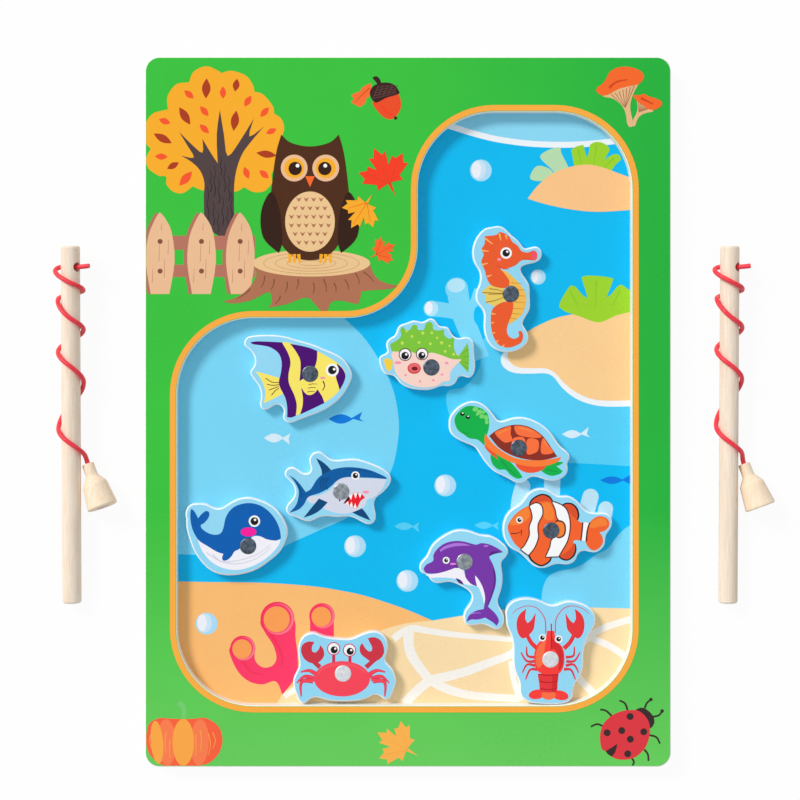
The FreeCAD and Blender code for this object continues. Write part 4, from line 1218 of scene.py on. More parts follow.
UPPER_BACK = [
    (-1.4, 2.4), (-5, 2.6), (-8.4, 3.8), (-10, 6.4), (-11, 10), (-12.4, 13.4), (-11.4, 16.4), (-12.2, 18.8),
    (-11, 21), (-11, 24.2), (-8, 24.4), (-6, 24.8), (-4.6, 26), (-2.4, 25.2), (-0.6, 23.8), (0.6, 21.8),
    (2.8, 20.2), (4.4, 18), (7, 17.3), (9.6, 18.2), (11, 16.8), (10.4, 14.2), (7, 14.2), (4.4, 14),
    (1.6, 11.8), (-2, 10.6), (-4.4, 10.6), (-2.6, 8.4), (-0.6, 5.2),
]
art.shape("horse", UPPER_BACK, {0, 9, 12})
art.shape("horse_mouth", [(8.2, 17.6), (10, 18), (10.9, 16.6), (10.3, 14.4), (8.2, 14.8), (8.8, 16.2)])
art.add(
    "horse_dark", stroke([(-5.8, 12), (-3.4, 10.6), (-0.6, 10.4)], 0.5, 0.2),
    stroke([(4.4, 14.6), (7, 14.8), (9, 14.4)], 0.35, 0.2)
)
for x, y, to_x, to_y in (
    (-11, 23.4, -7.6, 20.8), (-4.8, 25.2, -4.2, 22.4), (-2.2, 24.6, -1.6, 22.8), (-12.4, 18.2, -9.2, 17.8),
    (-12, 12.2, -9.6, 12.9), (-10, 7.2, -8, 7.9), (-8.4, -8.2, -6.4, -8.5), (-8.6, -12.2, -7, -12),
    (-8, -16.6, -6.6, -16.2), (-6.4, -20.4, -5.2, -19.4), (-3.4, -22.2, -2.8, -21.2)
):
    art.line("horse_spine", [(x, y), (to_x, to_y)], 0.85, 0.35)
eye(art, -2, 17.1, 2.4, 1.55)
art.oval("cheek", -4.9, 14.4, 0.8, 0.55)
art.make()

# Pufferfish
art = creature_print("pufferfish")
art.shape("puffer", [
    (11, 4.2), (13, 7), (15.1, 10.4), (15.7, 7), (15.8, 3), (15.5, -2.2), (13.4, 0), (11.4, 2.4),
], {2, 5})
for high, low in ((7.6, 5.6), (4.6, 4.2), (1.6, 2.6), (-0.6, 1.6)):
    art.line("puffer_tail_ray", [(15.5, high), (12.6, low)], 0.35, 0.15)
art.shape("puffer_fin", [
    (-19.8, 3.2), (-18, 3.7), (-16.2, 2.4), (-16.8, -0.6), (-18.2, -1.6), (-19.2, 0.4),
])
PUFFER_BELLY = [
    (-16.4, 6.4), (-15.8, 2), (-15, -2.2), (-12, -5.6), (-8, -7.6), (-3, -8.4), (2, -7.8), (4.6, -6.2),
    (7.8, -5.6), (8, -2), (9.8, 0.4), (12.6, 3.2), (10, 6), (0, 8), (-10, 8),
]
art.shape("puffer_belly", PUFFER_BELLY, {8, 11})
PUFFER_BACK = [
    (-16.6, 6.8), (-17.2, 9.6), (-15.6, 10.6), (-13.6, 12), (-12.6, 13.6), (-13, 15.6), (-11.8, 17),
    (-10.6, 15.4), (-9, 15.8), (-7.6, 17.8), (-6, 17.4), (-5.6, 15.8), (-3.2, 15.8), (-2.4, 18.2),
    (-0.6, 19.1), (0.6, 17.8), (0.8, 16), (3, 15.4), (5.2, 15.8), (5.4, 13.6), (7.4, 12), (9.4, 12.4),
    (9.4, 8.4), (10.6, 5.4), (12.8, 4.4), (14, 3.4), (11.6, 3.4), (8.4, 3.6), (4, 5.2), (0, 6.2), (-3, 5.2),
    (-7, 6), (-10, 7.2), (-13.4, 6.6),
]
art.shape("puffer", PUFFER_BACK, {0, 25, 26})
for x, y, radius in (
    (-12.2, 10.2, 0.7), (-8.1, 13, 0.6), (-5.2, 10.4, 0.6), (-3.6, 14.4, 0.7), (0.2, 14.5, 0.6),
    (-0.4, 9.9, 0.6), (4.3, 10.3, 0.7), (5.8, 6.7, 0.6), (9.3, 5.5, 0.6), (2.4, 12.4, 0.5),
    (-10.4, 15.2, 0.5), (7.6, 9, 0.5)
):
    art.oval("puffer_spot", x, y, radius, steps=20)
eye(art, -11, 5.4, 2.3, 1.6, look=(0, -0.5), rim="ink_line")
eye(art, -3.9, 5.6, 2.2, 1.5, look=(-0.1, -0.6), rim="ink_line")
art.oval("lips_line", -7.2, -0.4, 2.8, 2.3)
art.oval("lips", -7.2, -0.2, 2.4, 1.9)
art.oval("mouth_dark", -7, -0.5, 1.3, 0.8)
art.add("cheek", ellipse(-14, 2, 1.4, 0.6), ellipse(6.4, 1.8, 0.8, 0.5))
for x, y in ((-10.8, -3.2), (-4.8, -5.8), (0.8, -5.4), (4.4, -3)):
    art.oval("cheek", x, y, 0.5, steps=16)
art.make()

# Angelfish
art = creature_print("angelfish")
art.shape("angel_yellow", [
    (-12.6, -1.8), (-18, -0.2), (-22.9, 1), (-21, -1.4), (-19.2, -5.4), (-18.8, -8.6), (-19.4, -12.3),
    (-15.6, -10.6), (-11.2, -8.2),
], {0, 2, 6, 8})
for tip in ((-18.6, -1.8), (-18, -4.4), (-17.2, -6.8), (-16.2, -9)):
    art.line("ink_line", [
        tip, ((tip[0] - 13) / 2, (tip[1] - 4.6) / 2 - 0.3), (-13, -3 + tip[1] * 0.34),
    ], 0.35, 0.3, steps=3)
ANGEL_BODY = [
    (-11.6, 13.1), (-6, 12.2), (-1, 10.9), (3.6, 9.2), (8, 6.8), (11.4, 4.6), (13.8, 2.2), (14.9, -0.4),
    (14.2, -3.4), (12.2, -7), (9.4, -9.8), (6, -12), (0, -15), (-4.6, -17), (-9, -18), (-9, -13),
    (-11, -8.8), (-12.6, -4), (-11.8, 3), (-12, 8),
]
art.shape("angel_yellow", ANGEL_BODY, {14})
art.shape("angel", [
    (-25, 13.2), (-22, 13.6), (-16, 13.4), (-11.8, 13.2), (-9.2, 8.6), (-8.2, 4.6), (-9, 0), (-8.8, -4),
    (-6.6, -9), (-5.6, -13), (-6, -17.6), (-8, -18.3), (-9.6, -18.1), (-9.6, -14), (-10.4, -10),
    (-12.6, -5.6), (-13, -3), (-12.2, 0.6), (-11.9, 5), (-13.2, 8.6), (-16.4, 11), (-20, 11.9),
    (-23.8, 12.4),
], {0, 3, 10, 12})
art.shape("angel", [
    (-8.4, 12.6), (-4, 11.8), (0, 10.8), (3, 9.6), (2.8, 5.6), (1.6, 2), (0, -1), (-3.2, -2.4), (-4.4, -3),
    (-4, 2), (-4.2, 6), (-6.2, 9.8),
], {0, 3, 8})
art.shape("angel", [
    (-3.6, -6), (-3, -10), (-3.2, -13.6), (-4.2, -17), (0, -15.1), (6, -12.2), (5, -9.4), (3.2, -6.6),
    (1.8, -7.4), (0, -8.6), (-2.2, -7.8),
], {3, 5, 7})
art.shape("angel", [
    (11.2, 4.4), (13.4, 2.4), (14.8, -0.4), (14.2, -3.4), (12.4, -6.8), (11.6, -4), (10.8, -1), (11.6, 1.6),
], {0, 4})
art.shape("angel_yellow", [
    (-3.8, -2.6), (-3.4, -6), (-1.4, -8.6), (1, -8.6), (3, -6.6), (3.4, -3.4), (1, -1.6),
])
for y in (-4.3, -5.8, -7.4):
    art.line("ink_line", [
        (-1.2 + (y + 7.4) * 0.2, y - 0.2), (1, y + 0.1), (2.4 + (y + 6) * 0.3, y),
    ], 0.32, 0.2, steps=3)
eye(art, 9.3, 1.6, 2.7, 1.8, glint=(0.45, 0.2))
art.oval("cheek", 5.3, -1.7, 1.1, 0.5)
art.line("ink_line", [(5.4, -3), (6.1, -5), (5.2, -7)], 0.55, 0.3)
art.make()

# Turtle
art = creature_print("turtle")
art.add(
    "turtle_skin",
    smooth([
        (-11.6, -2.6), (-8, -2.4), (-3, -6.4), (0.4, -10.4), (1.6, -12.4), (-0.6, -12.9), (-3.4, -11.4),
        (-5.6, -9.2), (-8.6, -9), (-11.2, -6.4),
    ], {4}),
    smooth([(10, -7.2), (14.6, -7), (18.4, -9.8), (17, -11), (13.6, -11.7), (10.4, -10.4), (9, -8.6)], {2}),
    smooth([(15, -5.8), (18.8, -6), (16.6, -7.4), (13, -7.4)], {1})
)
art.add(
    "turtle_shade", stroke([(-7.4, -5), (-4.4, -8.6), (-1, -11.6)], 0.6, 0.3),
    stroke([(11.4, -9), (14.4, -9.6), (16.4, -10)], 0.5, 0.2)
)
TURTLE_HEAD = [
    (-26.9, 11), (-26.4, 13.4), (-24.6, 15.6), (-22.4, 17.2), (-20, 17.6), (-16.4, 16.8), (-13.4, 14.8),
    (-12.4, 11.4), (-12.6, 8), (-13.6, 4.6), (-14.4, 1), (-17.2, 3.4), (-20.6, 4), (-23, 5.6), (-25.6, 7.6),
]
art.shape("turtle_skin", TURTLE_HEAD, {10})
for x, y, across, up in (
    (-18.2, 16.2, 1.2, 0.9), (-16.4, 15, 1.3, 1), (-15.4, 13.2, 1.1, 0.9), (-13.6, 12.6, 0.9, 1.2),
    (-13.4, 10.8, 0.8, 0.9), (-17.4, 14, 0.6, 0.5), (-14.6, 15, 0.8, 0.6)
):
    art.oval("turtle_spot", x, y, across, up, 20)
for x, y in ((-23.6, 14.2), (-21.3, 12.9)):
    art.oval("black", x, y, 0.95, 0.8)
    art.oval("white", x + 0.15, y + 0.35, 0.4, 0.28, steps=16)
art.line("turtle_shade", [(-23.4, 6.8), (-21.6, 5.9), (-20.4, 6.8)], 0.4, 0.25)
art.add(
    "shell_under", smooth([(-14, 1.2), (-12.8, -1.6), (-8.6, -5), (-9.6, -2.2), (-6, -3)], {2}),
    smooth([(-1.6, -6.6), (0, -8.8), (3.4, -10.4), (7.4, -10.2), (10.4, -8.8), (11, -7), (4, -6)], {0})
)
art.shape("shell_rim", [
    (-14, 6), (-14.4, 3), (-13.4, 0.4), (-9.4, -2.6), (-4, -5.6), (2, -7.4), (8, -7.9), (13.4, -7),
    (16.8, -5.4), (17.8, -3.8), (14, -4.6), (8, -5.2), (0, -4.6), (-6, -2), (-11, 2),
], {0, 9})
DOME = [
    (-12.4, 5), (-9.6, 7.2), (-6, 8.8), (-1.6, 9.7), (3, 9.2), (7, 7.4), (10.6, 4.4), (13.4, 0.4),
    (15.4, -2.6), (16.2, -3.6), (12, -4.8), (7, -5.2), (1, -4.4), (-4, -2.6), (-8.6, 0.4),
]
art.shape("shell_seam", DOME, {0, 9})
for plate in (
    [(-10, 6.4), (-6.4, 8.2), (-3.4, 9), (-3.4, 6), (-2.8, 3.2), (-5.4, 2.2), (-7.6, 3.4)],
    [(-1.6, 9.2), (2.6, 8.9), (6.6, 7.2), (9.6, 4.6), (6, 4.2), (0.4, 5.2), (-1.4, 6.8)],
    [(3.6, 3.6), (8, 3.2), (8.2, -0.6), (6.6, -2.2), (3.4, -2.4)],
    [(10.2, 4.2), (12.4, 1.2), (14.4, -2), (10, -2.6), (9.2, 0)],
    [(-3, 2.6), (-1.4, 4.4), (2.4, 4), (2.6, -1.6), (-1.6, -0.6)],
):
    art.shape("shell", plate)
art.add(
    "shell_light", stroke([(-8.8, 5.9), (-6, 7.3), (-4.2, 7.8)], 1, 0.5),
    stroke([(0, 8.2), (3, 7.9), (6, 6.6)], 1, 0.5), stroke([(10.6, 2.8), (12, 0.8)], 1, 0.5)
)
art.make()

# Clownfish
art = creature_print("clownfish")
art.shape("black", [
    (-9.4, 10.2), (-8.8, 12.4), (-6.6, 14.4), (-3.6, 15.4), (-0.6, 14.4), (0.9, 12.2), (-0.6, 10), (-5, 9),
], {0, 5})
art.shape("clown_fin", [
    (-9, 10.2), (-8.2, 12.2), (-6.2, 13.9), (-3.6, 14.8), (-1, 13.8), (0.5, 12), (-0.6, 9.4), (-5, 9),
], {0, 5})
art.shape("black", [
    (4, 10.4), (6, 11.6), (8.8, 11.4), (11, 9.4), (11.8, 6.4), (11.2, 4.2), (8, 4), (6, 7),
], {0, 5})
art.shape("clown_fin", [
    (4.6, 10.2), (6.4, 11.1), (8.6, 10.8), (10.4, 9), (11.1, 6.4), (10.7, 4.4), (8, 4), (6, 7),
], {0, 5})
art.shape("black", [
    (-9.9, -10.2), (-8.4, -12.8), (-5, -14.9), (-2.6, -14.6), (-0.4, -13), (0.4, -10.8), (-4, -8),
], {0, 5})
art.shape("clown", [
    (-9.2, -9.8), (-7.8, -12.4), (-4.8, -14.3), (-2.8, -14), (-0.9, -12.6), (-0.2, -10.8), (-4, -8),
], {0, 5})
art.shape("black", [
    (2.6, -10.6), (4.4, -12.2), (7, -12.6), (9.6, -10.8), (10.6, -8), (10.2, -5.6), (6, -5),
], {0, 5})
art.shape("clown_fin", [
    (3.2, -10.5), (4.8, -11.7), (7, -12), (9.1, -10.4), (10, -7.8), (9.8, -5.6), (6, -5),
], {0, 5})
CLOWN_BODY = [
    (-18.2, 0.6), (-17.4, 3.6), (-15, 6.8), (-11.8, 9.2), (-8, 11), (-3.6, 12.2), (0, 12), (3.4, 10.8),
    (6.6, 8.6), (9.2, 5.8), (12, 3.6), (13.6, 3.2), (13, -0.4), (12.4, -4.2), (9.6, -4.2), (8.6, -7),
    (5.6, -9.6), (2.6, -10.8), (-1.6, -11.2), (-5, -11.4), (-9, -10.4), (-12.6, -8), (-15.8, -4.8),
]
art.shape("clown", CLOWN_BODY, {11, 13})
art.add(
    "clown_light",
    smooth([(-17.4, 2.8), (-15, 6.2), (-12, 8.6), (-9.6, 9.6), (-9, 6), (-11.6, 3.4), (-14.6, 2.2)]),
    smooth([(-3.8, 11.4), (-0.4, 11.2), (1.2, 7), (0.6, 4.4), (-2.6, 4.8), (-3.6, 8)])
)
FRONT_BAND = [
    (-9, 10.2), (-6.4, 11.4), (-4.2, 10.2), (-3.8, 6.8), (-5.6, 3), (-5.8, 0), (-5.6, -3), (-7.2, -7.2),
    (-9.6, -10.2), (-12.6, -8), (-10.8, -6), (-9, -2), (-9, 1.6), (-7.8, 5), (-8.2, 8),
]
MIDDLE_BAND = [
    (0.4, 12), (3.4, 11), (6.2, 8.8), (7.6, 4.4), (7.6, 0), (6.6, -4.4), (4.6, -8), (3, -10.8), (-2.2, -11),
    (-0.4, -7), (0.6, -3.6), (5.4, -1), (5.6, 2), (3.4, 4.2), (2.4, 6), (1.8, 9),
]
for outline, corners in ((FRONT_BAND, {0, 8, 9}), (MIDDLE_BAND, {0, 7, 8})):
    line = smooth(outline, corners)
    art.add("ink_line", grown(line, 0.5))
    art.add("white", line)
art.shape("ink_line", [(1.6, 3.6), (4.2, 4.2), (6, 2.4), (6, -1.2), (4.4, -3), (2, -2.6)])
art.shape("clown_light", [(1.6, 3.1), (4, 3.6), (5.4, 2.2), (5.4, -1), (4, -2.5), (2, -2.1)])
art.shape("clown", [
    (14.6, -0.6), (15.4, 2.4), (18, 5.2), (21, 6), (23.8, 4.6), (24.2, 2), (22.6, 0), (20.2, -0.8),
    (21.4, -2.6), (21.6, -5.2), (19.8, -7.6), (17.4, -8.3), (15.2, -6.6), (14.3, -4),
], {7})
art.shape("clown_light", [(15.8, 2), (18.2, 4.7), (21, 5.4), (23, 4.2), (23.2, 2.2), (20, 1.6), (17, 1)])
art.shape("ink_line", [
    (12.9, 3.4), (16.4, 3.3), (15.4, 0), (15, -4.6), (12.1, -4.3), (12.6, -0.4),
], {0, 1, 3, 4})
art.shape("white", [
    (13.5, 3.4), (15.8, 3.3), (14.8, 0), (14.3, -4.5), (12.7, -4.3), (13.2, -0.4),
], {0, 1, 3, 4})
eye(art, -13.3, 4.4, 1.4, 0.9)
art.line("ink_line", [(-17, -1.2), (-14.6, -1.2), (-12.6, -0.6)], 0.4, 0.25)
art.line("ink_line", [(-12.4, 0.4), (-12.6, -2.2)], 0.35, 0.2)
art.make()

# Shark
art = creature_print("shark")
art.add(
    "shark_dark",
    smooth([
        (-10.5, 14), (-8, 12.6), (-5.6, 10.6), (-3.8, 8.4), (-6.4, 7), (-8, 7), (-8.4, 9.6),
    ], {0, 3, 5}),
    smooth([(4, -8.4), (8, -6.2), (10.4, -9), (12.4, -12.2), (8, -10.4)], {0, 1, 3})
)
SHARK_BELLY = [
    (-14, -2.2), (-9, -1.4), (-4.6, 0.8), (-1, 5.4), (4, 6), (10, 5.6), (19, 5.2), (17.4, 1.4), (14, -2.2),
    (11, -3.4), (10, -6), (6, -8.2), (2, -9.2), (-2, -9), (-6.4, -7.6), (-10, -5.4), (-13.6, -4.4),
]
art.shape("shark_belly", SHARK_BELLY, {6})
art.shape("shark_blue", [
    (-21.7, 6.9), (-19.2, 5.2), (-17, 2.8), (-14.8, -0.2), (-12.6, 1.2), (-10.2, 5), (-7.4, 7.4), (-3, 9.4),
    (2, 10.2), (7, 10), (12, 9), (16, 7.4), (18.8, 6), (19, 5.2), (14, 5.7), (8, 5.9), (3, 6.1), (-1, 5),
    (-5, 1.6), (-9, -0.6), (-13.6, -2.2), (-15.6, -5.4), (-18, -7.6), (-21.7, -8.9), (-19, -5.8),
    (-18, -2.8), (-17.8, 0.6), (-19.4, 4),
], {0, 3, 13, 23})
art.shape("shark_dark", [
    (-9.3, -2.9), (-5.6, -4.5), (-8.4, -7.4), (-11.6, -9.5), (-15.7, -10.9), (-12.6, -7),
], {0, 1, 4})
for x in (-8.4, -7.2, -6):
    art.line("shark_dark", [(x + 0.8, 5.8), (x - 0.4, 3.6), (x + 0.4, 0.8)], 0.55, 0.3)
art.add(
    "shark_dark", stroke([(-18.6, 3.6), (-17, 0.6), (-16.4, -2.4)], 0.5, 0.3),
    stroke([(2, 9.4), (8, 9.1), (13, 7.8)], 0.4, 0.15)
)
art.shape("shark_mouth", [
    (1.4, -5), (3.2, -2.1), (5.6, -0.5), (8.4, -0.8), (10, -2.6), (8.4, -3.7), (7.5, -5.2), (6.6, -7.2),
    (4.8, -6.7), (3, -5.8),
], {0, 4, 7})
art.add("black", [(0.8, -5.2), (3.1, -1.9), (3.5, -3.4)])
for tooth in (
    [(3.3, -1.9), (4.2, -3.5), (4.9, -0.8)], [(5.2, -0.7), (6.1, -2.9), (6.8, -0.5)],
    [(7.1, -0.6), (7.9, -2.8), (8.6, -0.9)], [(1.8, -5.1), (2.9, -4), (3.3, -5.9)],
    [(3.5, -6), (4.4, -4.2), (5, -6.7)], [(5.2, -6.8), (5.9, -4.8), (6.6, -7.1)]
):
    art.add("white", tooth)
art.oval("cheek", 10.4, -0.2, 1.3, 0.6)
art.oval("black", -0.6, -3.7, 0.35, steps=16)
eye(art, 6, 6.7, 1.75, 1.15)
art.make()

# Whale
art = creature_print("whale")
art.shape("whale_belly", [
    (-21, 2.6), (-16, 0), (-10, -2.6), (-4, -1), (1, 3), (4, 4.4), (8, 3.4), (13.6, 2.6), (12.6, 0),
    (9, -4), (4.4, -7.2), (-1, -9.4), (-6, -10), (-11, -9), (-15.6, -6.4), (-19.2, -2),
], {0, 7})
for reach in (0, 1):
    art.line("whale_fold", [
        (-17.4 + 2.6 * reach, -2.8 - 0.6 * reach), (-11, -6.6 + 0.2 * reach), (-4, -7.4 + 1.4 * reach),
        (3.6, -5.2 + 1.6 * reach), (9.4, -0.8 + 1.2 * reach),
    ], 0.5, 0.25)
art.shape("whale", [
    (-23.9, 15.3), (-22.4, 14.4), (-20.9, 11.6), (-19.2, 13.6), (-17.4, 14.7), (-16.2, 13.8), (-16.6, 11.8),
    (-18.2, 9.8), (-19.8, 8.8), (-19.4, 7.4), (-17, 5.6), (-14, 4.7), (-11.4, 5.4), (-10.2, 8),
    (-9.4, 11.6), (-7.6, 14.8), (-4.6, 17), (0, 18), (4.6, 17.2), (8.4, 14.8), (11.4, 11.2), (13.2, 7.2),
    (13.8, 3.2), (11.8, 2.3), (8, 2.8), (5, 4.1), (2, 4.1), (0, 2), (-3.6, -1.2), (-5.6, -2.2), (-6.7, -4),
    (-8, -5.4), (-9.4, -6.1), (-10.6, -5.9), (-10.8, -4.7), (-10.3, -3.3), (-13, -2.4), (-17, 0),
    (-20.6, 2.4), (-23, 6.4), (-24.1, 11),
], {2, 8, 22, 35})
art.add(
    "shark_blue", stroke([(-5.4, -1.8), (-7.4, -3.4), (-9, -5)], 0.5, 0.2),
    stroke([(-22.6, 12.6), (-21.8, 8), (-19, 4.6)], 0.5, 0.2)
)
art.line("shark_blue", [(-6.8, 12.8), (-3.6, 15.6), (0.8, 16.4)], 0.5, 0.2)
art.oval("whale_cheek", 0.2, 5.9, 3.3, 1.9)
eye(art, 2.7, 10.4, 2.4, 1.65, glint=(0.15, 0.35))
art.make()

# Dolphin
art = creature_print("dolphin")
art.shape("whale_belly", [
    (-16.4, -5.4), (-12, -5), (-8, -4), (-5, -2.6), (-1, -2.6), (0, -5), (2, -8), (4.2, -6), (5.8, -7.4),
    (7.6, -10.6), (8.6, -14.4), (8.2, -17.4), (7.2, -14), (5.4, -10.4), (2, -9.8), (-1, -9), (-3.4, -7.4),
    (-7, -6.7), (-11, -6.6), (-14, -6.6),
], {0})
DOLPHIN = [
    (-17.2, -2.9), (-16, -1.2), (-13.2, 0.4), (-13, 3), (-11, 5.8), (-8, 7.8), (-4, 8.7), (0, 8.4),
    (4.6, 7.2), (7, 7.8), (10, 7.4), (13.6, 5.8), (16.2, 4), (12.8, 3.4), (10.4, 2.2), (12, -1.4),
    (13.1, -5.6), (13, -9.8), (11.6, -14.4), (9.8, -18.8), (12.8, -21.6), (14.4, -24.6), (13.4, -26.8),
    (11.6, -25.2), (8.6, -23.4), (5.6, -24.2), (2.8, -24.2), (0.8, -25.2), (1.8, -22.6), (4.6, -20.6),
    (8, -19.8), (8.6, -15.4), (7.8, -11.2), (6, -7.6), (4.4, -5.6), (4.6, -7.6), (5.2, -10.2), (2.6, -9.2),
    (0.4, -6.4), (-0.4, -3), (-4, -2.6), (-8, -4), (-12, -4.9), (-16, -4.7),
]
art.shape("dolphin", DOLPHIN, {0, 12, 19, 22, 24, 27, 30, 34, 36, 40})
art.add(
    "dolphin_dark", smooth([(-3.8, -6.8), (-1.6, -7.7), (-0.2, -9.6), (-2.4, -8.8)], {0, 2}),
    smooth([(10.4, 2.3), (12.6, 3.3), (16, 4), (13, 4.4), (11, 4)], {0, 2}),
    stroke([(12.2, -3), (12.7, -8), (11.4, -13.4), (9.8, -17.6)], 0.6, 0.3),
    stroke([(-2.9, -2), (-4.6, -1.5)], 0.9, 0.3)
)
art.add(
    "dolphin_light",
    smooth([
        (-10.4, 5), (-8, 6.7), (-4, 7.8), (0, 7.6), (2.6, 6.7), (-1, 6.7), (-5, 6.3), (-8.4, 5.2),
        (-10, 4.2),
    ], {0, 4}),
    ellipse(9, 6.6, 1, 0.45), stroke([(2.6, -21.8), (5, -21.4), (7, -21.6)], 0.5, 0.2)
)
art.oval("dolphin_lip", -4.8, -0.9, 1.3, 0.45)
eye(art, -7.7, 0.6, 1.45, 0.85)
art.make()

# Crab
art = creature_print("crab")
for side in (-1, 1):
    for leg in (
        [(9.6, -1), (13.4, 1.2), (17.2, 0.6)], [(11, -2.4), (15.4, -1.2), (18.8, -4)],
        [(12, -3), (16.8, -3.6), (16.9, -9.6)]
    ):
        bent = [(side * x + (0.6 if side > 0 else -0.6), y) for x, y in leg]
        art.line("crab_line", bent, 2.3, 0.5)
        art.line("crab", bent, 1.6, 0.3)
    art.line("crab_claw", [(side * 9.6, 2.6), (side * 13, 5.6), (side * 14.6, 6.6)], 2, 1.6)
art.add(
    "crab_claw",
    smooth([
        (-14, 4.6), (-16.4, 6.4), (-17.6, 9.6), (-16.8, 12.2), (-14.4, 13.4), (-12, 13.2), (-13, 11.2),
        (-12.8, 9.2), (-11.4, 8.8), (-10, 10.4), (-9.6, 12), (-8.2, 10), (-8, 7.4), (-9.8, 5), (-12, 4.4),
    ], {5, 8, 10}),
    smooth([
        (12, 5), (9.6, 6.4), (7.4, 8.4), (7, 11), (8, 12.8), (9.2, 10.8), (10.6, 9.4), (12, 9.4),
        (12.2, 11), (11.2, 13), (10.4, 14.8), (13, 15.2), (15.6, 14), (17, 11.2), (17, 8.2), (15, 5.8),
    ], {4, 7, 10})
)
for x in (-3.9, 2.9):
    art.line("crab_line", [(x, 4), (x, 8.4)], 1.3)
art.oval("crab", -0.4, -2.2, 11.7, 7.4, steps=48)
art.oval("crab_light", -0.6, -0.8, 10.2, 5.2, steps=48)
art.oval("crab", -0.4, -2, 10.4, 5.4, steps=48)
for x, y, look in ((-3.9, 10.4, (0.2, -0.5)), (2.7, 9.8, (0.3, -0.5))):
    eye(art, x, y, 2.35, 1.5, rim="crab_line", look=look)
art.make()

# Lobster
art = creature_print("lobster")
PINCER = [
    (9.4, 10), (7.2, 12.4), (6.6, 15.6), (6.2, 19.6), (8, 16.6), (9.6, 15.2), (10.6, 17.2), (10.2, 21.2),
    (13, 18.8), (14.2, 15.2), (13.6, 11), (11.6, 8.8),
]
for side in (-1, 1):
    art.line("feeler", [
        (side * 2, 11), (side * 2.4, 17), (side * 5.6, 21.4), (side * 9.6, 22.4), (side * 13.6, 21.2),
        (side * 16, 19.2),
    ], 0.5, 0.25)
    for leg in (
        [(6.4, 0.9), (9.6, 1.6), (10, 5.4)], [(6.6, -0.8), (10, -0.6), (12.4, 3)],
        [(6.4, -2.6), (9.8, -2.2), (11.8, -5.6)], [(5.6, -4.2), (8.6, -4.4), (10.4, -8.4)]
    ):
        art.line("lobster_leg", [(side * x, y) for x, y in leg], 1.3, 0.5)
    art.line("lobster_claw", [(side * 5.6, 4.6), (side * 8.2, 7.2), (side * 10, 10.6)], 1.9, 1.6)
    art.shape("lobster_claw", [(side * x, y) for x, y in PINCER], {3, 5, 7})
art.add("lobster", ellipse(-5.6, -14.6, 3.6, 2, 10), ellipse(4, -15, 3.6, 2, -12))
art.oval("lobster_light", -0.8, -14.9, 3, 2)
art.shape("lobster_claw", [
    (-5.4, -6), (3.4, -6), (3, -9.6), (2.2, -13.4), (-3.8, -13.4), (-4.8, -9.6),
], {0, 1})
art.shape("lobster_side", [
    (0.6, -6), (3.4, -6), (3, -9.6), (2.2, -13.4), (0.4, -13.2), (0.8, -9.6),
], {0, 1})
for y in (-6.2, -9.2, -12.2):
    art.line("lobster_dark", [
        (-5 + (-6.2 - y) * 0.12, y), (-1, y - 0.45), (3 - (-6.2 - y) * 0.1, y),
    ], 0.5, 0.3)
art.shape("lobster", [
    (-1.4, 12), (-2.2, 9), (-5, 7), (-6.6, 3.4), (-6.8, -0.6), (-6, -4), (-3.6, -6), (0, -6.2), (3.6, -5.8),
    (5.4, -3), (5.8, 1.4), (5, 5), (2.6, 8), (1.4, 12),
], {0, 13})
art.shape("lobster_light", [
    (-1.2, 11), (-2, 8.4), (-4.6, 6.2), (-6, 2.8), (-6.2, -1), (-5, -3.6), (-3, -1), (-2.4, 5),
])
art.shape("lobster_side", [
    (0.2, 11.4), (1.4, 8), (4.2, 5.4), (5.3, 1.6), (4.9, -2.6), (3.4, -4.6), (3.6, 0), (2, 4), (0.2, 5),
], {0})
art.line("lobster_dark", [(0.3, 15), (0.4, 10), (0.2, 4)], 0.5, 0.3)
eye(art, -3.4, 9.1, 1.5, 0.95)
eye(art, 3.4, 8.5, 1.6, 1)
art.make()


# The steel discs, glued into their seats: each a turned disc with a soft edge,
# whose face stands a hair above the varnish

DISC_THICK = 1.5
DISC_BOTTOM = CREATURE_TOP - DISC_THICK
DISC_PROFILE = [(3.3, 0.0), (3.5, 0.2), (3.5, 1.45), (3.42, 1.62), (3.24, 1.73), (2.95, 1.78), (1.6, 1.77)]


def turned(name, profile, middle, bottom, material, stands_for, steps=48):
    """A solid turned round an upright axis, closed at both ends."""
    vertices = []
    faces = []
    rings = len(profile)
    for radius, height in profile:
        for step in range(steps):
            angle = 2.0 * math.pi * step / steps
            vertices.append((
                (middle[0] + radius * math.cos(angle)) * MM, (middle[1] + radius * math.sin(angle)) * MM,
                (bottom + height) * MM,
            ))
    for ring in range(rings - 1):
        for step in range(steps):
            after = (step + 1) % steps
            faces.append((
                ring * steps + step, ring * steps + after, (ring + 1) * steps + after,
                (ring + 1) * steps + step,
            ))
    faces.append(tuple(reversed(range(steps))))
    faces.append(tuple(range((rings - 1) * steps, rings * steps)))
    mesh = bpy.data.meshes.new(name)
    mesh.from_pydata(vertices, [], faces)
    mesh.materials.append(material)
    for face in mesh.polygons:
        face.use_smooth = len(face.vertices) == 4
    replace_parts(new_piece(name, mesh), stands_for)


# Which discs get the lighter steel copies with painted reflection
DISC_METAL = {"crab": steel_painted_reflection, "lobster": steel_painted_reflection, "shark": steel_painted_half_reflection, "dolphin": steel_painted_half_reflection}
for creature in DISC_AT:
    turned(
        creature + "_steel", DISC_PROFILE, DISC_AT[creature], DISC_BOTTOM, DISC_METAL.get(creature, steel),
        creature + "_disc"
    )


# The floor, the light and the camera

# The table's half width and height, in metres
FLOOR_HALF = 3.0
FLOOR_Z = -0.0002
FLOOR_TONES = ((0.86, 0.86, 0.86, 1.0), (0.88, 0.88, 0.88, 1.0))
FLOOR_DRIFT = 2.0
FLOOR_ROUGH = 0.9
FLOOR_GLOW = 0.94
WHITE = (1.0, 1.0, 1.0, 1.0)


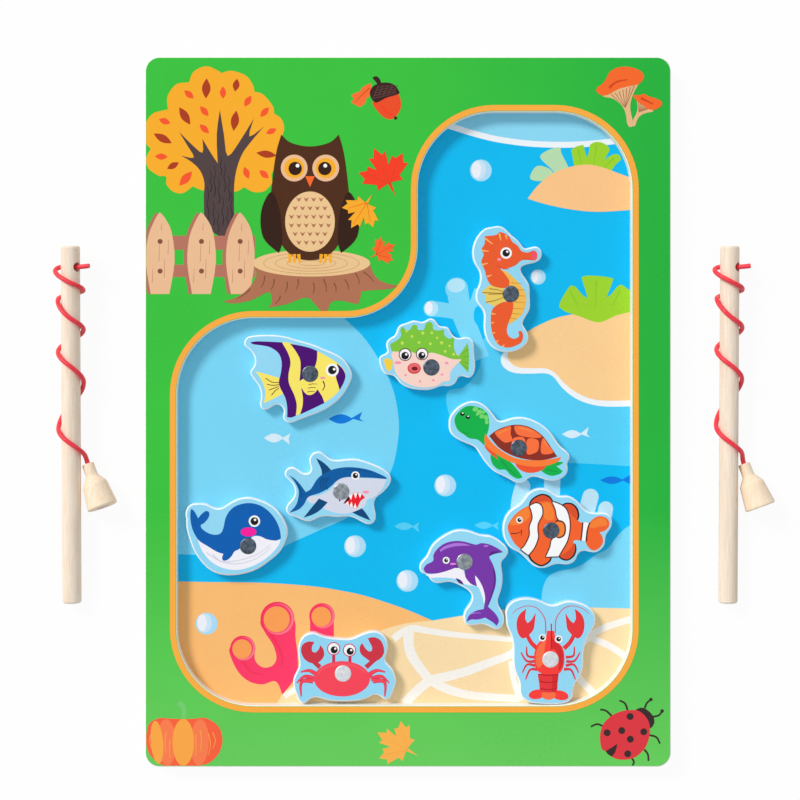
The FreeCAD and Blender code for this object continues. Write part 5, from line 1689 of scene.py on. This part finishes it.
def make_floor():
    """A matt white table that takes the shadow and is all but lit by itself to the camera."""
    mesh = bpy.data.meshes.new("floor")
    corners = ((-1, -1), (1, -1), (1, 1), (-1, 1))
    mesh.from_pydata([(FLOOR_HALF * x, FLOOR_HALF * y, FLOOR_Z) for x, y in corners], [], [(0, 1, 2, 3)])
    paint = Paint("white_table")
    tone = paint.blend(paint.cloud(FLOOR_DRIFT, PATCH_SPAN), *FLOOR_TONES)
    paint.settings(Base_Color=tone, Roughness=FLOOR_ROUGH, Specular_IOR_Level=0.0)
    nodes = paint.tree.nodes
    glow = paint.node("ShaderNodeEmission", Strength=1.0, Color=WHITE)
    seen = nodes.new("ShaderNodeMath")
    seen.operation = "MULTIPLY"
    seen.inputs[1].default_value = FLOOR_GLOW
    both = nodes.new("ShaderNodeMixShader")
    for out, socket in (
        (nodes.new("ShaderNodeLightPath").outputs["Is Camera Ray"], seen.inputs[0]),
        (seen.outputs[0], both.inputs["Fac"]), (nodes["Principled BSDF"].outputs["BSDF"], both.inputs[1]),
        (glow.outputs["Emission"], both.inputs[2]),
        (both.outputs["Shader"], nodes["Material Output"].inputs["Surface"]),
    ):
        paint.tree.links.new(out, socket)
    mesh.materials.append(paint.material)
    floor = bpy.data.objects.new("floor", mesh)
    bpy.context.scene.collection.objects.link(floor)


make_floor()

world = bpy.data.worlds.new("studio")
bpy.context.scene.world = world
world.use_nodes = True
sky = world.node_tree.nodes["Background"]
sky.inputs["Color"].default_value = SKY_COLOUR
sky.inputs["Strength"].default_value = SKY_STRENGTH

sun = bpy.data.lights.new("key", "SUN")
sun.energy = SUN_STRENGTH
sun.color = SUN_COLOUR
sun.angle = math.radians(SUN_SOFTNESS)
sun_at = bpy.data.objects.new("key", sun)
sun_at.rotation_euler = Euler((math.radians(SUN_TILT), 0.0, math.radians(SUN_TURN)), "XYZ")
bpy.context.scene.collection.objects.link(sun_at)

optics = bpy.data.cameras.new("camera")
optics.sensor_width = SENSOR
optics.lens = SENSOR * CAMERA_HEIGHT / IMAGE_WIDTH
optics.shift_x = (IMAGE_MIDDLE[0] - CAMERA_OVER[0]) / IMAGE_WIDTH
optics.shift_y = (IMAGE_MIDDLE[1] - CAMERA_OVER[1]) / IMAGE_WIDTH
optics.clip_start = NEAR_CLIP
optics.clip_end = FAR_CLIP
camera = bpy.data.objects.new("camera", optics)
camera.location = (CAMERA_OVER[0] * MM, CAMERA_OVER[1] * MM, (FRAME_TOP + CAMERA_HEIGHT) * MM)
bpy.context.scene.collection.objects.link(camera)
bpy.context.scene.camera = camera
bpy.context.scene.view_settings.view_transform = "Standard"

bpy.context.view_layer.update()
